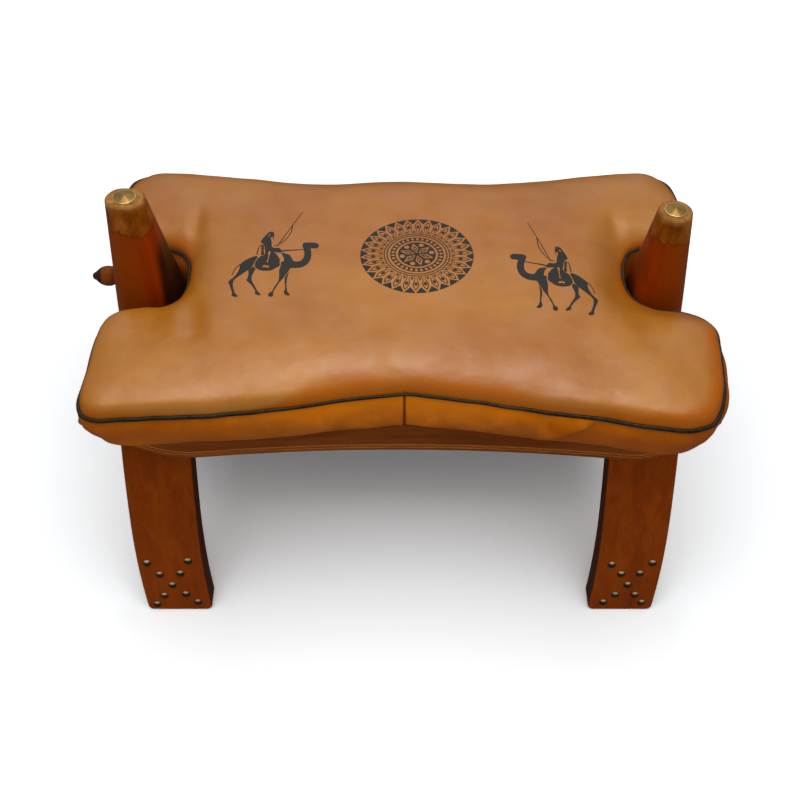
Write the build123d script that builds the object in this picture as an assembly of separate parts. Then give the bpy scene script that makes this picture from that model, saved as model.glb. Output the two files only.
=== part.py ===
from build123d import *
import math
import os

# Camel saddle stool: two wooden wishbone arches with a horn-like post on each,
# joined by a shaped board at the front and at the back and by two hidden seat
# rails, with a loose leather cushion notched round the posts.
# Millimetres. X runs along the stool, +X to the right seen from the front,
# -Y is the front, and Z is up. The pieces are laid out from the point on the floor
# midway between the feet. The hand-made parts differ from side to side, so the
# whole is then set over, with its origin under the middle of its overall box.

# Arches: four curved legs, two to an arch
arch_outer_x = 281.0
leg_width = 70.0
leg_thickness = 26.0
foot_reach_y = 174.0
foot_lean_angle = 8.0
seat_lean_angle = 27.7
board_seat_z = 240.0
arch_top_z = 281.0
arch_under_z = 252.0
arch_shoulder_r = 10.0
arch_under_r = 40.0
toe_bend_z = 120.0
toe_in = 4.5
foot_corner_r = 6.0
leg_edge_r = 2.5

# Posts: the horns that rise from the arches
post_half_depth = 25.0
post_base_r = 3.0
post_swell_z = 314.0
post_swell_half_depth = 24.0
post_swell_r = 11.0
post_rim_chamfer = 1.6
left_post_inner_x = 217.0
left_post_top_z = 431.0
left_post_top_inner_x = 237.0
left_post_top_outer_x = 274.0
left_post_top_depth = 31.0
right_post_inner_x = 228.0
right_post_top_z = 416.0
right_post_top_inner_x = 242.5
right_post_top_outer_x = 274.5
right_post_top_depth = 33.0
post_top_r_share = 0.49
# Height and taper reached at each level between the swell and the top
post_level_shares = [(0.3, 0.3, 0.2), (0.66, 0.66, 0.58)]

# Joints between legs and posts: tenons with a cross peg
tenon_width = 36.0
tenon_height = 14.0
tenon_length = 18.0
tenon_gap = 0.2
cross_peg_d = 8.0
peg_gap = 0.1

# Side boards with a turned knob at each end
board_thickness = 20.0
board_edge_r = 3.0
knob_line_z = 240.5
board_top_rise = 39.5
board_arch_rise = 27.9
board_left_low_x = 195.0
board_left_low_drop = 35.8
board_right_low_x = 225.0
board_right_low_drop = 39.0
board_top_end_x = 250.0
board_neck_x = 290.0
rear_board_extra = 25.0
bead_width = 4.2
groove_width = 1.8
groove_depth = 1.2
board_end_rise = 9.0
neck_r = 7.2
knob_r = 11.3
knob_collar = 1.5
knob_swell = 10.0
knob_tip_x = 317.5
nipple_length = 4.5
nipple_r = 4.6
nipple_step = 0.7
board_peg_d = 9.0
board_peg_bite = 16.0
board_peg_spread = 18.0
board_peg_low = 9.0
board_peg_high = 27.0

# Hidden seat rails, let in flush with the top of the arches. Their place and width
# are shares of the room between the post and the shoulder of the leg.
rail_start_share = 0.14
rail_width_share = 0.68
rail_thickness = 14.0
rail_gap = 0.1
rail_edge = 1.5
rail_peg_d = 6.0
rail_peg_bite = 9.0

# Brass cone on top of each post
disc_d = 21.5
disc_edge = 0.8
disc_rise = 2.4
disc_shank_d = 3.0
disc_shank_length = 14.0
shank_gap = 0.1

# Brass dome nails, nine in a saltire on each foot
nail_head_d = 8.4
nail_head_rise = 2.6
nail_rim = 0.5
nail_shank_d = 2.2
nail_shank_length = 13.0
nail_seat_gap = 0.05
nail_centre_z = 41.0
nail_row_pitch = 15.2
nail_spread_share = 0.16
# Hand-driven drift of each nail, across and up, as shares of the head's width
left_drift_shares = [
    (-0.15, -0.06), (-0.25, 0.26), (-0.08, -0.17), (-0.08, 0.02), (0.0, -0.2),
    (0.07, -0.29), (0.21, -0.02), (0.26, -0.11), (0.27, 0.31),
]
right_drift_shares = [
    (0.26, -0.33), (0.07, -0.06), (0.3, -0.1), (0.01, 0.02), (0.0, -0.14),
    (-0.06, -0.15), (-0.17, -0.15), (-0.12, 0.27), (-0.46, 0.2),
]

# Cushion: leather panels sewn round a stuffed core, with piping on the top seam
cushion_seat_gap = 0.4
leather = 2.0
filling_gap = 0.3
seam_z = 325.0
crown_z = 354.0
piping_d = 5.0
piping_gap = 0.3
centre_seam_x = 4.0
cushion_left_x = 289.0
cushion_right_x = 302.5
front_waist_y = 150.0
front_left_y = 187.0
front_right_y = 198.0
rear_centre_y = 161.0
rear_dip_y = 154.5
rear_dip_x = 84.0
rear_left_y = 180.0
rear_right_y = 181.0
front_hip_x = 165.0
front_hip_y = 177.0
notch_floor_gap = 5.0
notch_front_gap = 17.0
notch_rear_gap = 26.0
lobe_r = 17.0
lobe_corner_r = 24.0
lobe_side_r = 60.0
notch_r = 20.0
waist_r = 250.0
hip_r = 120.0
dip_r = 150.0
tight_r = 6.0
# Profile of the sewn side from the bottom seam to the top seam:
# height share of the side, and how far inside the piping line it lies
side_bottom_inset = 10.0
side_tuck_inset = 3.0
side_bulge = 2.0
side_height_shares = [0.13, 0.4, 0.71]
# Profile of the crown above the top seam: height share, inset from the seam
crown_height_shares = [0.18, 0.38, 0.61, 0.82, 1.0]
crown_inset = 34.0
crown_inset_shares = [0.035, 0.12, 0.29, 0.59, 1.0]
# How far the crown falls from its middle to the cushion's two ends
crown_end_drop = 16.0

# Overrun of every cut that passes through a face
cut_over = 2.0


# Shape of the leg's outer face, from the floor to the seat of the board

def sine(angle):
    return math.sin(math.radians(angle))


def cosine(angle):
    return math.cos(math.radians(angle))


bow_r = board_seat_z / (sine(seat_lean_angle) - sine(foot_lean_angle))
board_seat_y = foot_reach_y - bow_r * (cosine(foot_lean_angle) - cosine(seat_lean_angle))


def face_angle(z):
    """Lean of the outer face from the vertical at height z, in degrees."""
    return math.degrees(math.asin(sine(foot_lean_angle) + z / bow_r))


def face_y(z, depth=0.0):
    """Distance from the middle of a point on the bowed face, or depth inside it."""
    lean = face_angle(z)
    return foot_reach_y - bow_r * (cosine(foot_lean_angle) - cosine(lean)) - depth * cosine(lean)


def straight_y(z):
    """Distance from the middle of the straight seat of the board at height z."""
    return board_seat_y - (z - board_seat_z) * sine(seat_lean_angle) / cosine(seat_lean_angle)


def leg_side_face():
    """Side view of a leg on +Y, in the YZ plane."""
    inner_r = bow_r - leg_thickness
    centre_y = foot_reach_y - bow_r * cosine(foot_lean_angle)
    centre_z = -bow_r * sine(foot_lean_angle)
    lean = seat_lean_angle
    outer_foot = (foot_reach_y, 0)
    outer_mid = (face_y(board_seat_z / 2), board_seat_z / 2)
    outer_seat = (board_seat_y, board_seat_z)
    shoulder = (straight_y(arch_top_z), arch_top_z)
    top_end = (post_half_depth, arch_top_z)
    under_end = (post_half_depth, arch_under_z)
    bend_rise = arch_under_r * (1 - sine(lean))
    bend_top_y = (centre_y + inner_r * cosine(lean)) - arch_under_r * cosine(lean)
    bend_start_z = arch_under_z - bend_rise
    seat_inner = (centre_y + inner_r * cosine(lean), centre_z + inner_r * sine(lean))
    run_up = bend_start_z - seat_inner[1]
    slope_shift = run_up * sine(lean) / cosine(lean)
    bend_start = (seat_inner[0] - slope_shift, bend_start_z)
    bend_end = (bend_top_y - slope_shift, arch_under_z)
    inner_foot = (centre_y + math.sqrt(inner_r**2 - centre_z**2), 0)
    mid_lean = (foot_lean_angle + lean) / 2
    inner_mid = (centre_y + inner_r * cosine(mid_lean), centre_z + inner_r * sine(mid_lean))
    outline = [
        ThreePointArc(outer_foot, outer_mid, outer_seat),
        Line(outer_seat, shoulder),
        Line(shoulder, top_end),
        Line(top_end, under_end),
        Line(under_end, bend_end),
        TangentArc(bend_end, bend_start, tangent=(1, 0)),
        Line(bend_start, seat_inner),
        ThreePointArc(seat_inner, inner_mid, inner_foot),
        Line(inner_foot, outer_foot),
    ]
    face = Plane.YZ * make_face(outline)
    corner = face.vertices().group_by(Axis.Z)[-1].sort_by(Axis.Y)[-1]
    return fillet(corner, arch_shoulder_r)


def leg_front_face():
    """Front view of a leg on +X, in the XZ plane: a plank that toes in at the foot."""
    outer = arch_outer_x
    inner = arch_outer_x - leg_width
    toe_r = (toe_bend_z**2 + toe_in**2) / (2 * toe_in)
    half_bend = toe_bend_z / 2
    half_toe = toe_r - math.sqrt(toe_r**2 - half_bend**2)
    outline = [
        Line((inner, arch_top_z), (inner, toe_bend_z)),
        ThreePointArc((inner, toe_bend_z), (inner - half_toe, half_bend), (inner - toe_in, 0)),
        Line((inner - toe_in, 0), (outer - toe_in, 0)),
        ThreePointArc((outer - toe_in, 0), (outer - half_toe, half_bend), (outer, toe_bend_z)),
        Line((outer, toe_bend_z), (outer, arch_top_z)),
        Line((outer, arch_top_z), (inner, arch_top_z)),
    ]
    face = make_face(outline)
    corners = face.vertices().group_by(Axis.Y)[0]
    return fillet(corners, foot_corner_r)


def leg_blank():
    """A leg on +X and +Y, before its cuts."""
    side_view = Pos(arch_outer_x - leg_width - toe_in - cut_over, 0, 0) * extrude(
        leg_side_face(), leg_width + toe_in + 2 * cut_over)
    front_view = extrude(Plane.XZ * leg_front_face(), -(foot_reach_y + cut_over))
    blank = side_view & front_view
    long_edges = [
        edge for edge in blank.edges()
        if edge.center().Z > foot_corner_r and edge.center().Y > post_half_depth + cut_over
        and edge.length > leg_thickness + tight_r and abs(edge.tangent_at(0.5).X) < 0.5
    ]
    return fillet(long_edges, leg_edge_r)


def tenon_box(side, grow):
    """The tenon on the end of a leg, laid out on +X and +Y in the middle of the post
    on that side, and grown all round for its mortise."""
    middle_x = (post_inner_x(side) + arch_outer_x) / 2
    middle_z = (arch_top_z + arch_under_z) / 2
    size_x = tenon_width + 2 * grow
    size_y = tenon_length + grow
    size_z = tenon_height + 2 * grow
    return Pos(middle_x, post_half_depth - size_y / 2, middle_z) * Box(size_x, size_y, size_z)


def cross_peg(side, end, grow):
    """The peg that runs along X through a post and the tenon inside it."""
    inner_x = post_inner_x(side)
    length = arch_outer_x - inner_x
    middle_z = (arch_top_z + arch_under_z) / 2
    peg = Rot(0, 90, 0) * Cylinder(cross_peg_d / 2 + grow, length + grow * cut_over / peg_gap)
    return Pos(side * (inner_x + length / 2), end * (post_half_depth - tenon_length / 2), middle_z) * peg


def post_inner_x(side):
    return left_post_inner_x if side < 0 else right_post_inner_x


def to_quarter(solid, side, end):
    """Mirror a piece made on +X and +Y into the quarter that side and end name."""
    placed = solid if side > 0 else mirror(solid, about=Plane.YZ)
    return placed if end > 0 else mirror(placed, about=Plane.XZ)


# Nails

def nail_places(side, end):
    """Planes on the outer face of a foot, one under each nail head."""
    drifts = left_drift_shares if side < 0 else right_drift_shares
    centre_x = side * (arch_outer_x - leg_width / 2)
    spread = nail_spread_share * leg_width
    places = []
    spots = [(-2, 2), (2, 2), (-1, 1), (1, 1), (0, 0), (-1, -1), (1, -1), (-2, -2), (2, -2)]
    for (across, row), (drift_x, drift_z) in zip(spots, drifts):
        x = centre_x + across * spread + drift_x * nail_head_d
        z = nail_centre_z + row * nail_row_pitch + drift_z * nail_head_d
        lean = face_angle(z)
        normal = (0, end * cosine(lean), sine(lean))
        places.append(Plane(origin=(x, end * face_y(z), z), x_dir=(1, 0, 0), z_dir=normal))
    return places


def nail():
    """A dome-headed nail that points down Z, its head's underside at zero."""
    head_r = nail_head_d / 2
    seat = nail_seat_gap
    outline = [
        Line((0, -nail_shank_length), (nail_shank_d / 2, -nail_shank_length)),
        Line((nail_shank_d / 2, -nail_shank_length), (nail_shank_d / 2, seat)),
        Line((nail_shank_d / 2, seat), (head_r, seat)),
        Line((head_r, seat), (head_r, seat + nail_rim)),
        TangentArc((0, seat + nail_head_rise), (head_r, seat + nail_rim), tangent=(1, 0)),
        Line((0, seat + nail_head_rise), (0, -nail_shank_length)),
    ]
    return revolve(Plane.XZ * make_face(outline), Axis.Z)


def shank_hole(diameter, length):
    return Pos(0, 0, -length / 2) * Cylinder(diameter / 2 + shank_gap, length + 2 * cut_over)


# Side boards

def board_plane(end):
    """Middle plane of a board: X along it, Y up its slope, Z out of its outer face."""
    offset = board_thickness / 2
    y = straight_y(knob_line_z) + offset / cosine(seat_lean_angle)
    normal = (0, end * cosine(seat_lean_angle), sine(seat_lean_angle))
    return Plane(origin=(0, end * y, knob_line_z), x_dir=(-end, 0, 0), z_dir=normal)


def board_outline(extra):
    """Front view of a board: a shallow arch below, ends that sweep in to the necks.
    The end on +X is extra longer."""
    left_low = (-board_left_low_x, -board_left_low_drop)
    right_low = (board_right_low_x + extra, -board_right_low_drop)
    arch_top = ((right_low[0] + left_low[0]) / 2, -board_arch_rise)
    top_left = (-board_top_end_x, board_top_rise)
    top_right = (board_top_end_x + extra, board_top_rise)
    right_neck_x = board_neck_x + extra
    arch = ThreePointArc(left_low, arch_top, right_low)
    left_tangent = arch.tangent_at(0)
    right_tangent = arch.tangent_at(1)
    outline = [
        arch,
        TangentArc(right_low, (right_neck_x, -board_end_rise), tangent=right_tangent),
        Line((right_neck_x, -board_end_rise), (right_neck_x, board_end_rise)),
        TangentArc(top_right, (right_neck_x, board_end_rise), tangent=(1, 0)),
        Line(top_right, top_left),
        TangentArc(top_left, (-board_neck_x, board_end_rise), tangent=(-1, 0)),
        Line((-board_neck_x, board_end_rise), (-board_neck_x, -board_end_rise)),
        TangentArc(left_low, (-board_neck_x, -board_end_rise), tangent=-left_tangent),
    ]
    return make_face(outline)


def knob():
    """Turned knob on the +X end of a board, about the X axis."""
    swell_x = board_neck_x + knob_swell
    nipple_x = knob_tip_x - nipple_length
    root_x = board_neck_x - knob_collar
    collar_end = (board_neck_x + knob_collar, neck_r)
    nipple_foot = (nipple_x, nipple_r + nipple_step)
    outline = [
        Line((root_x, 0), (root_x, neck_r)),
        Line((root_x, neck_r), collar_end),
        Spline(collar_end, (swell_x, knob_r), nipple_foot, tangents=[(0.5, 1), (1, -1)]),
        Line(nipple_foot, (nipple_x, nipple_r)),
        TangentArc((knob_tip_x, 0), (nipple_x, nipple_r), tangent=(0, 1)),
        Line((knob_tip_x, 0), (root_x, 0)),
    ]
    return revolve(make_face(outline), Axis.X)


def bead_groove(outline):
    """Scored line that sets off a bead along the lower edge of the outer face."""
    band = offset(outline, -bead_width) - offset(outline, -bead_width - groove_width)
    lower = Pos(0, -board_thickness - board_end_rise) * Rectangle(3 * board_neck_x, 2 * board_thickness)
    return Pos(0, 0, board_thickness / 2 - groove_depth) * extrude(band & lower, groove_depth + cut_over)


def board_blank(extra):
    """A board flat on the XY plane, outer face up, with its knobs."""
    outline = board_outline(extra)
    plank = Pos(0, 0, -board_thickness / 2) * extrude(outline, board_thickness)
    plank = fillet(plank.faces().filter_by(Axis.Z).edges(), board_edge_r)
    plank -= bead_groove(outline)
    turned = knob()
    return plank + Pos(extra, 0, 0) * turned + mirror(turned, about=Plane.YZ)


def board_peg_places(end):
    """Planes on the outer face of a board, one at each peg."""
    places = []
    slope = board_plane(end)
    for side in (-1, 1):
        middle = side * (arch_outer_x - leg_width / 2)
        spots = [(middle - board_peg_spread, board_peg_low), (middle + board_peg_spread, board_peg_high)]
        for x, rise in spots:
            origin = slope.from_local_coords((-end * x, rise, board_thickness / 2))
            places.append(Plane(origin=origin, x_dir=slope.x_dir, z_dir=slope.z_dir))
    return places


def board_peg(grow):
    length = board_thickness + board_peg_bite
    reach = length + grow * cut_over / peg_gap
    return Pos(0, 0, -length / 2) * Cylinder(board_peg_d / 2 + grow, reach)


def side_board(end):
    """Front board for end -1. The rear one is turned round and longer at the left."""
    extra = 0 if end < 0 else rear_board_extra
    board = board_plane(end).location * board_blank(extra)
    for place in board_peg_places(end):
        board -= place.location * board_peg(peg_gap)
    return board


# Seat rails

rail_room = straight_y(arch_top_z) - post_half_depth
rail_width = rail_width_share * rail_room
rail_middle_y = post_half_depth + rail_start_share * rail_room + rail_width / 2


def rail_slot():
    height = rail_thickness + rail_gap
    slot = Box(2 * (arch_outer_x + cut_over), rail_width + 2 * rail_gap, height + cut_over)
    return Pos(0, rail_middle_y, arch_top_z - height + (height + cut_over) / 2) * slot


def rail_peg_spots(end):
    middle_x = arch_outer_x - leg_width / 2
    return [(side * middle_x, end * rail_middle_y) for side in (-1, 1)]


def rail_peg(x, y, grow):
    length = rail_thickness + rail_peg_bite
    reach = length + grow * cut_over / peg_gap
    return Pos(x, y, arch_top_z - length / 2) * Cylinder(rail_peg_d / 2 + grow, reach)


def seat_rail(end):
    middle_z = arch_top_z - rail_thickness / 2
    bar = Box(2 * arch_outer_x, rail_width, rail_thickness)
    bar = chamfer(bar.edges().filter_by(Axis.X), rail_edge)
    rail = Pos(0, end * rail_middle_y, middle_z) * bar
    for x, y in rail_peg_spots(end):
        rail -= rail_peg(x, y, peg_gap)
    return rail


# Legs and posts

def leg(side, end):
    piece = leg_blank() + tenon_box(side, 0)
    piece -= rail_slot()
    piece = to_quarter(piece, side, end)
    for place in nail_places(side, end):
        piece -= place.location * shank_hole(nail_shank_d, nail_shank_length)
    for place in board_peg_places(end):
        piece -= place.location * board_peg(peg_gap)
    for x, y in rail_peg_spots(end):
        piece -= rail_peg(x, y, peg_gap)
    return piece - cross_peg(side, end, peg_gap)


def post(side):
    """A post and the block at its foot that the two legs are tenoned into."""
    inner_x = post_inner_x(side)
    if side < 0:
        top_z, top_inner, top_outer = left_post_top_z, left_post_top_inner_x, left_post_top_outer_x
        top_depth = left_post_top_depth
    else:
        top_z, top_inner, top_outer = right_post_top_z, right_post_top_inner_x, right_post_top_outer_x
        top_depth = right_post_top_depth
    top_r = post_top_r_share * min(top_outer - top_inner, top_depth)
    rim_z = top_z - post_rim_chamfer

    def section(z, inner, outer, half_depth, corner_r):
        outline = RectangleRounded(outer - inner, 2 * half_depth, corner_r)
        return Pos(side * (inner + outer) / 2, 0, z) * outline

    def between(low, high, share):
        return low + (high - low) * share

    sections = [
        section(arch_top_z, inner_x, arch_outer_x, post_half_depth, post_base_r),
        section(post_swell_z, inner_x, arch_outer_x, post_swell_half_depth, post_swell_r),
    ]
    for height, taper, rounding in post_level_shares:
        sections.append(section(
            between(post_swell_z, rim_z, height),
            between(inner_x, top_inner, taper),
            between(arch_outer_x, top_outer, taper),
            between(post_swell_half_depth, top_depth / 2, taper),
            between(post_swell_r, top_r, rounding)))
    sections.append(section(rim_z, top_inner, top_outer, top_depth / 2, top_r))
    horn = loft(sections)
    cap = loft([
        section(rim_z, top_inner, top_outer, top_depth / 2, top_r),
        section(top_z, top_inner + post_rim_chamfer, top_outer - post_rim_chamfer,
                top_depth / 2 - post_rim_chamfer, top_r - post_rim_chamfer),
    ], ruled=True)
    block = Pos(0, 0, arch_under_z) * extrude(
        Pos(side * (inner_x + arch_outer_x) / 2, 0) * RectangleRounded(
            arch_outer_x - inner_x, 2 * post_half_depth, post_base_r),
        arch_top_z - arch_under_z)
    piece = block + horn + cap
    for end in (-1, 1):
        piece -= to_quarter(tenon_box(side, tenon_gap), side, end)
        piece -= cross_peg(side, end, peg_gap)
    top_x = side * (top_inner + top_outer) / 2
    return piece - Pos(top_x, 0, top_z) * shank_hole(disc_shank_d, disc_shank_length)


def post_disc(side):
    """Spun brass cone on a shank, seated on the top of a post."""
    if side < 0:
        x, z = (left_post_top_inner_x + left_post_top_outer_x) / 2, left_post_top_z
    else:
        x, z = (right_post_top_inner_x + right_post_top_outer_x) / 2, right_post_top_z
    disc_r = disc_d / 2
    shank_r = disc_shank_d / 2
    outline = Polyline(
        (0, -disc_shank_length), (shank_r, -disc_shank_length), (shank_r, 0), (disc_r, 0),
        (disc_r, disc_edge), (0, disc_edge + disc_rise), close=True)
    return Pos(side * x, 0, z) * revolve(Plane.XZ * make_face(outline), Axis.Z)


# Cushion

def notch_floor_x(side):
    return post_inner_x(side) - notch_floor_gap


def piping_corners():
    """Corners of the piping line, counter-clockwise: x, y, bend radius, whether the
    side that starts there borders a notch."""
    left = -cushion_left_x
    right = cushion_right_x
    notch_front = -(post_half_depth + notch_front_gap)
    notch_rear = post_half_depth + notch_rear_gap
    return [
        (centre_seam_x, -front_waist_y, waist_r, False),
        (right - 0.9 * lobe_corner_r, -front_right_y, lobe_corner_r, False),
        (right - 0.15 * lobe_corner_r, -0.66 * front_right_y, lobe_side_r, False),
        (right, notch_front - 0.2 * lobe_r, lobe_r, True),
        (notch_floor_x(1), notch_front, notch_r, True),
        (notch_floor_x(1) + 0.15 * notch_r, notch_rear, notch_r, True),
        (right - 0.2 * lobe_r, notch_rear + 0.2 * lobe_r, lobe_r, False),
        (right - 0.4 * lobe_corner_r, rear_right_y, lobe_corner_r, False),
        (centre_seam_x + rear_dip_x, rear_dip_y, dip_r, False),
        (centre_seam_x, rear_centre_y, waist_r, False),
        (centre_seam_x - rear_dip_x, rear_dip_y, dip_r, False),
        (left + 0.2 * lobe_corner_r, rear_left_y, lobe_corner_r, False),
        (left, notch_rear + 0.2 * lobe_r, lobe_r, True),
        (-notch_floor_x(-1), notch_rear, notch_r, True),
        (-notch_floor_x(-1), notch_front, notch_r, True),
        (left, notch_front - 0.1 * lobe_r, lobe_r, False),
        (left, -front_left_y, lobe_corner_r, False),
        (-front_hip_x, -front_hip_y, hip_r, False),
    ]


def inset_outline(inset):
    """Closed outline that lies inset inside the piping line. A negative inset stands
    outside it, except in the notches, where the side stays off the post."""
    corners = piping_corners()
    count = len(corners)
    lines = []
    for index in range(count):
        x, y, radius, notch = corners[index]
        next_x, next_y = corners[(index + 1) % count][:2]
        length = math.hypot(next_x - x, next_y - y)
        along = ((next_x - x) / length, (next_y - y) / length)
        step = max(inset, 0) if notch else inset
        lines.append(((x - along[1] * step, y + along[0] * step), along))
    edges = []
    bends = []
    for index in range(count):
        start, along = lines[index]
        back_start, back = lines[index - 1]
        turn = back[0] * along[1] - back[1] * along[0]
        gap = (start[0] - back_start[0], start[1] - back_start[1])
        reach = (gap[0] * along[1] - gap[1] * along[0]) / turn
        corner = (back_start[0] + reach * back[0], back_start[1] + reach * back[1])
        radius = corners[index][2]
        radius = max(radius - inset, tight_r) if turn > 0 else radius + inset
        half_turn = math.atan2(abs(turn), back[0] * along[0] + back[1] * along[1]) / 2
        run = radius * math.tan(half_turn)
        enter = (corner[0] - run * back[0], corner[1] - run * back[1])
        leave = (corner[0] + run * along[0], corner[1] + run * along[1])
        bends.append((enter, leave, back))
    for index in range(count):
        enter, leave, back = bends[index]
        following = bends[(index + 1) % count][0]
        edges.append(TangentArc(enter, leave, tangent=back))
        edges.append(Line(leave, following))
    return edges


def inset_face(inset, z):
    return Pos(0, 0, z) * make_face(inset_outline(inset))


seam_inset = piping_d / 2 + piping_gap
side_bottom_z = arch_top_z + cushion_seat_gap + leather


def side_solid(within):
    """The stuffed side from the bottom panel to the top seam, within mm inside the leather."""
    height = seam_z - side_bottom_z
    insets = [side_tuck_inset, -side_bulge, -0.75 * side_bulge]
    sections = [inset_face(side_bottom_inset + within, side_bottom_z)]
    for share, inset in zip(side_height_shares, insets):
        sections.append(inset_face(inset + within, side_bottom_z + share * height))
    sections.append(inset_face(seam_inset + within, seam_z))
    return loft(sections)


def crown_arch(within):
    """Everything under the crown's long arch, within mm inside the leather."""
    left = -cushion_left_x
    right = cushion_right_x
    foot = seam_z - cut_over
    top = crown_z - within
    end = top - crown_end_drop
    outline = [
        ThreePointArc((right, end), ((left + right) / 2, top), (left, end)),
        Line((left, end), (left, foot)),
        Line((left, foot), (right, foot)),
        Line((right, foot), (right, end)),
    ]
    return extrude(Plane.XZ * make_face(outline), right - left, both=True)


def crown_solid(within):
    """The crowned top above the seam, within mm inside the leather: rolled edges all
    round, cut by the long arch that falls towards both ends."""
    height = crown_z + cut_over - seam_z - within
    sections = [inset_face(seam_inset + within, seam_z)]
    for rise, share in zip(crown_height_shares, crown_inset_shares):
        inset = seam_inset + within + share * crown_inset
        sections.append(inset_face(inset, seam_z + rise * height))
    return loft(sections) & crown_arch(within)


def cushion_top_panel():
    return crown_solid(0) - crown_solid(leather)


def cushion_boxing(side):
    """Half of the sewn side. The halves meet at the seams in the middle of the long sides."""
    shell = side_solid(0) - side_solid(leather)
    reach = cushion_left_x + cushion_right_x
    half = Box(reach, 2 * reach, 2 * seam_z)
    return shell & Pos(centre_seam_x + side * reach / 2, 0, 0) * half


def cushion_bottom_panel():
    bottom = arch_top_z + cushion_seat_gap
    return extrude(inset_face(side_bottom_inset, bottom), leather)


def cushion_filling():
    within = leather + filling_gap
    foot = inset_face(side_bottom_inset + within, side_bottom_z)
    body = side_solid(within) + crown_solid(within)
    return body - extrude(foot, filling_gap)


def cushion_piping():
    edges = [Pos(0, 0, seam_z) * edge for edge in inset_outline(0)]
    path = Wire(edges)
    start = path.position_at(0)
    direction = path.tangent_at(0)
    section = Plane(origin=start, z_dir=direction) * Circle(piping_d / 2)
    return sweep(section, path=path)


# Build every piece

def export(name, shape):
    """Write one node, set over so that the overall box is centred on the origin."""
    middle_x = -rear_board_extra / 2
    middle_y = (rear_right_y - front_right_y) / 2
    export_step(Pos(-middle_x, -middle_y, 0) * shape, "parts/" + name + ".step")


def group(pieces):
    return Compound(children=list(pieces))


def main():
    os.makedirs("parts", exist_ok=True)
    side_names = {-1: "left", 1: "right"}
    end_names = {-1: "front", 1: "rear"}
    for end, end_name in end_names.items():
        for side, side_name in side_names.items():
            export(f"{end_name}_{side_name}_leg", leg(side, end))
            nails = [place.location * nail() for place in nail_places(side, end)]
            export(f"{end_name}_{side_name}_foot_nails", group(nails))
        export(f"{end_name}_side_board", side_board(end))
        pegs = [place.location * board_peg(0) for place in board_peg_places(end)]
        export(f"{end_name}_board_pegs", group(pegs))
        export(f"{end_name}_seat_rail", seat_rail(end))
        export(f"{end_name}_rail_pegs", group(rail_peg(x, y, 0) for x, y in rail_peg_spots(end)))
    for side, side_name in side_names.items():
        export(f"{side_name}_post", post(side))
        export(f"{side_name}_post_pegs", group(cross_peg(side, end, 0) for end in end_names))
        export(f"{side_name}_post_disc", post_disc(side))
        export(f"cushion_{side_name}_boxing", cushion_boxing(side))
    export("cushion_top_panel", cushion_top_panel())
    export("cushion_bottom_panel", cushion_bottom_panel())
    export("cushion_filling", cushion_filling())
    export("cushion_piping", cushion_piping())


main()
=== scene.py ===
import math
import bpy
import numpy as np
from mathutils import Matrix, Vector
from mathutils.bvhtree import BVHTree
from mathutils.geometry import delaunay_2d_cdt


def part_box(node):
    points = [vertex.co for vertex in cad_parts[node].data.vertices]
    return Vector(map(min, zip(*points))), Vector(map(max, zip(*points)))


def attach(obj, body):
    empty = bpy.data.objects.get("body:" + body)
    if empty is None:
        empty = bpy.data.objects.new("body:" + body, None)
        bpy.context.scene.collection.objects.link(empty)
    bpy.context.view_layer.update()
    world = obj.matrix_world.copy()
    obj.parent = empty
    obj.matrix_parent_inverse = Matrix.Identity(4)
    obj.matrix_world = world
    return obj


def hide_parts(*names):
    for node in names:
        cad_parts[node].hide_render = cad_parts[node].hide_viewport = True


# Camel saddle stool: the finish of the wooden arches, boards and brass, and the
# loose leather cushion with its piping and printed pictures.
# Sizes of the cushion are millimetres from the point on the floor midway between
# the feet, with +X to the right, -Y the front and Z up.

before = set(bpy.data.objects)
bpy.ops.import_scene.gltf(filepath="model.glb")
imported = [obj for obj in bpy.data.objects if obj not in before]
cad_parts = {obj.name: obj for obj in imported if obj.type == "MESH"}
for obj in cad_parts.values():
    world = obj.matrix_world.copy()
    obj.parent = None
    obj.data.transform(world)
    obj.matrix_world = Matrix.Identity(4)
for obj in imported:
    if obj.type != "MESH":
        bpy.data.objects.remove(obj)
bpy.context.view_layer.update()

mm = 0.001
leg_names = [f"{end}_{side}_leg" for end in ("front", "rear") for side in ("left", "right")]
leg_boxes = [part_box(name) for name in leg_names]
feet_x = (min(low.x for low, high in leg_boxes) + max(high.x for low, high in leg_boxes)) / 2
feet_y = (min(low.y for low, high in leg_boxes) + max(high.y for low, high in leg_boxes)) / 2
feet_middle = np.array([feet_x, feet_y, 0.0])

# Camera, solved from the photograph
camera_y = -845.8
camera_z = 1076.1
camera_pitch = 47.5
camera_lens = 50.85

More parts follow.
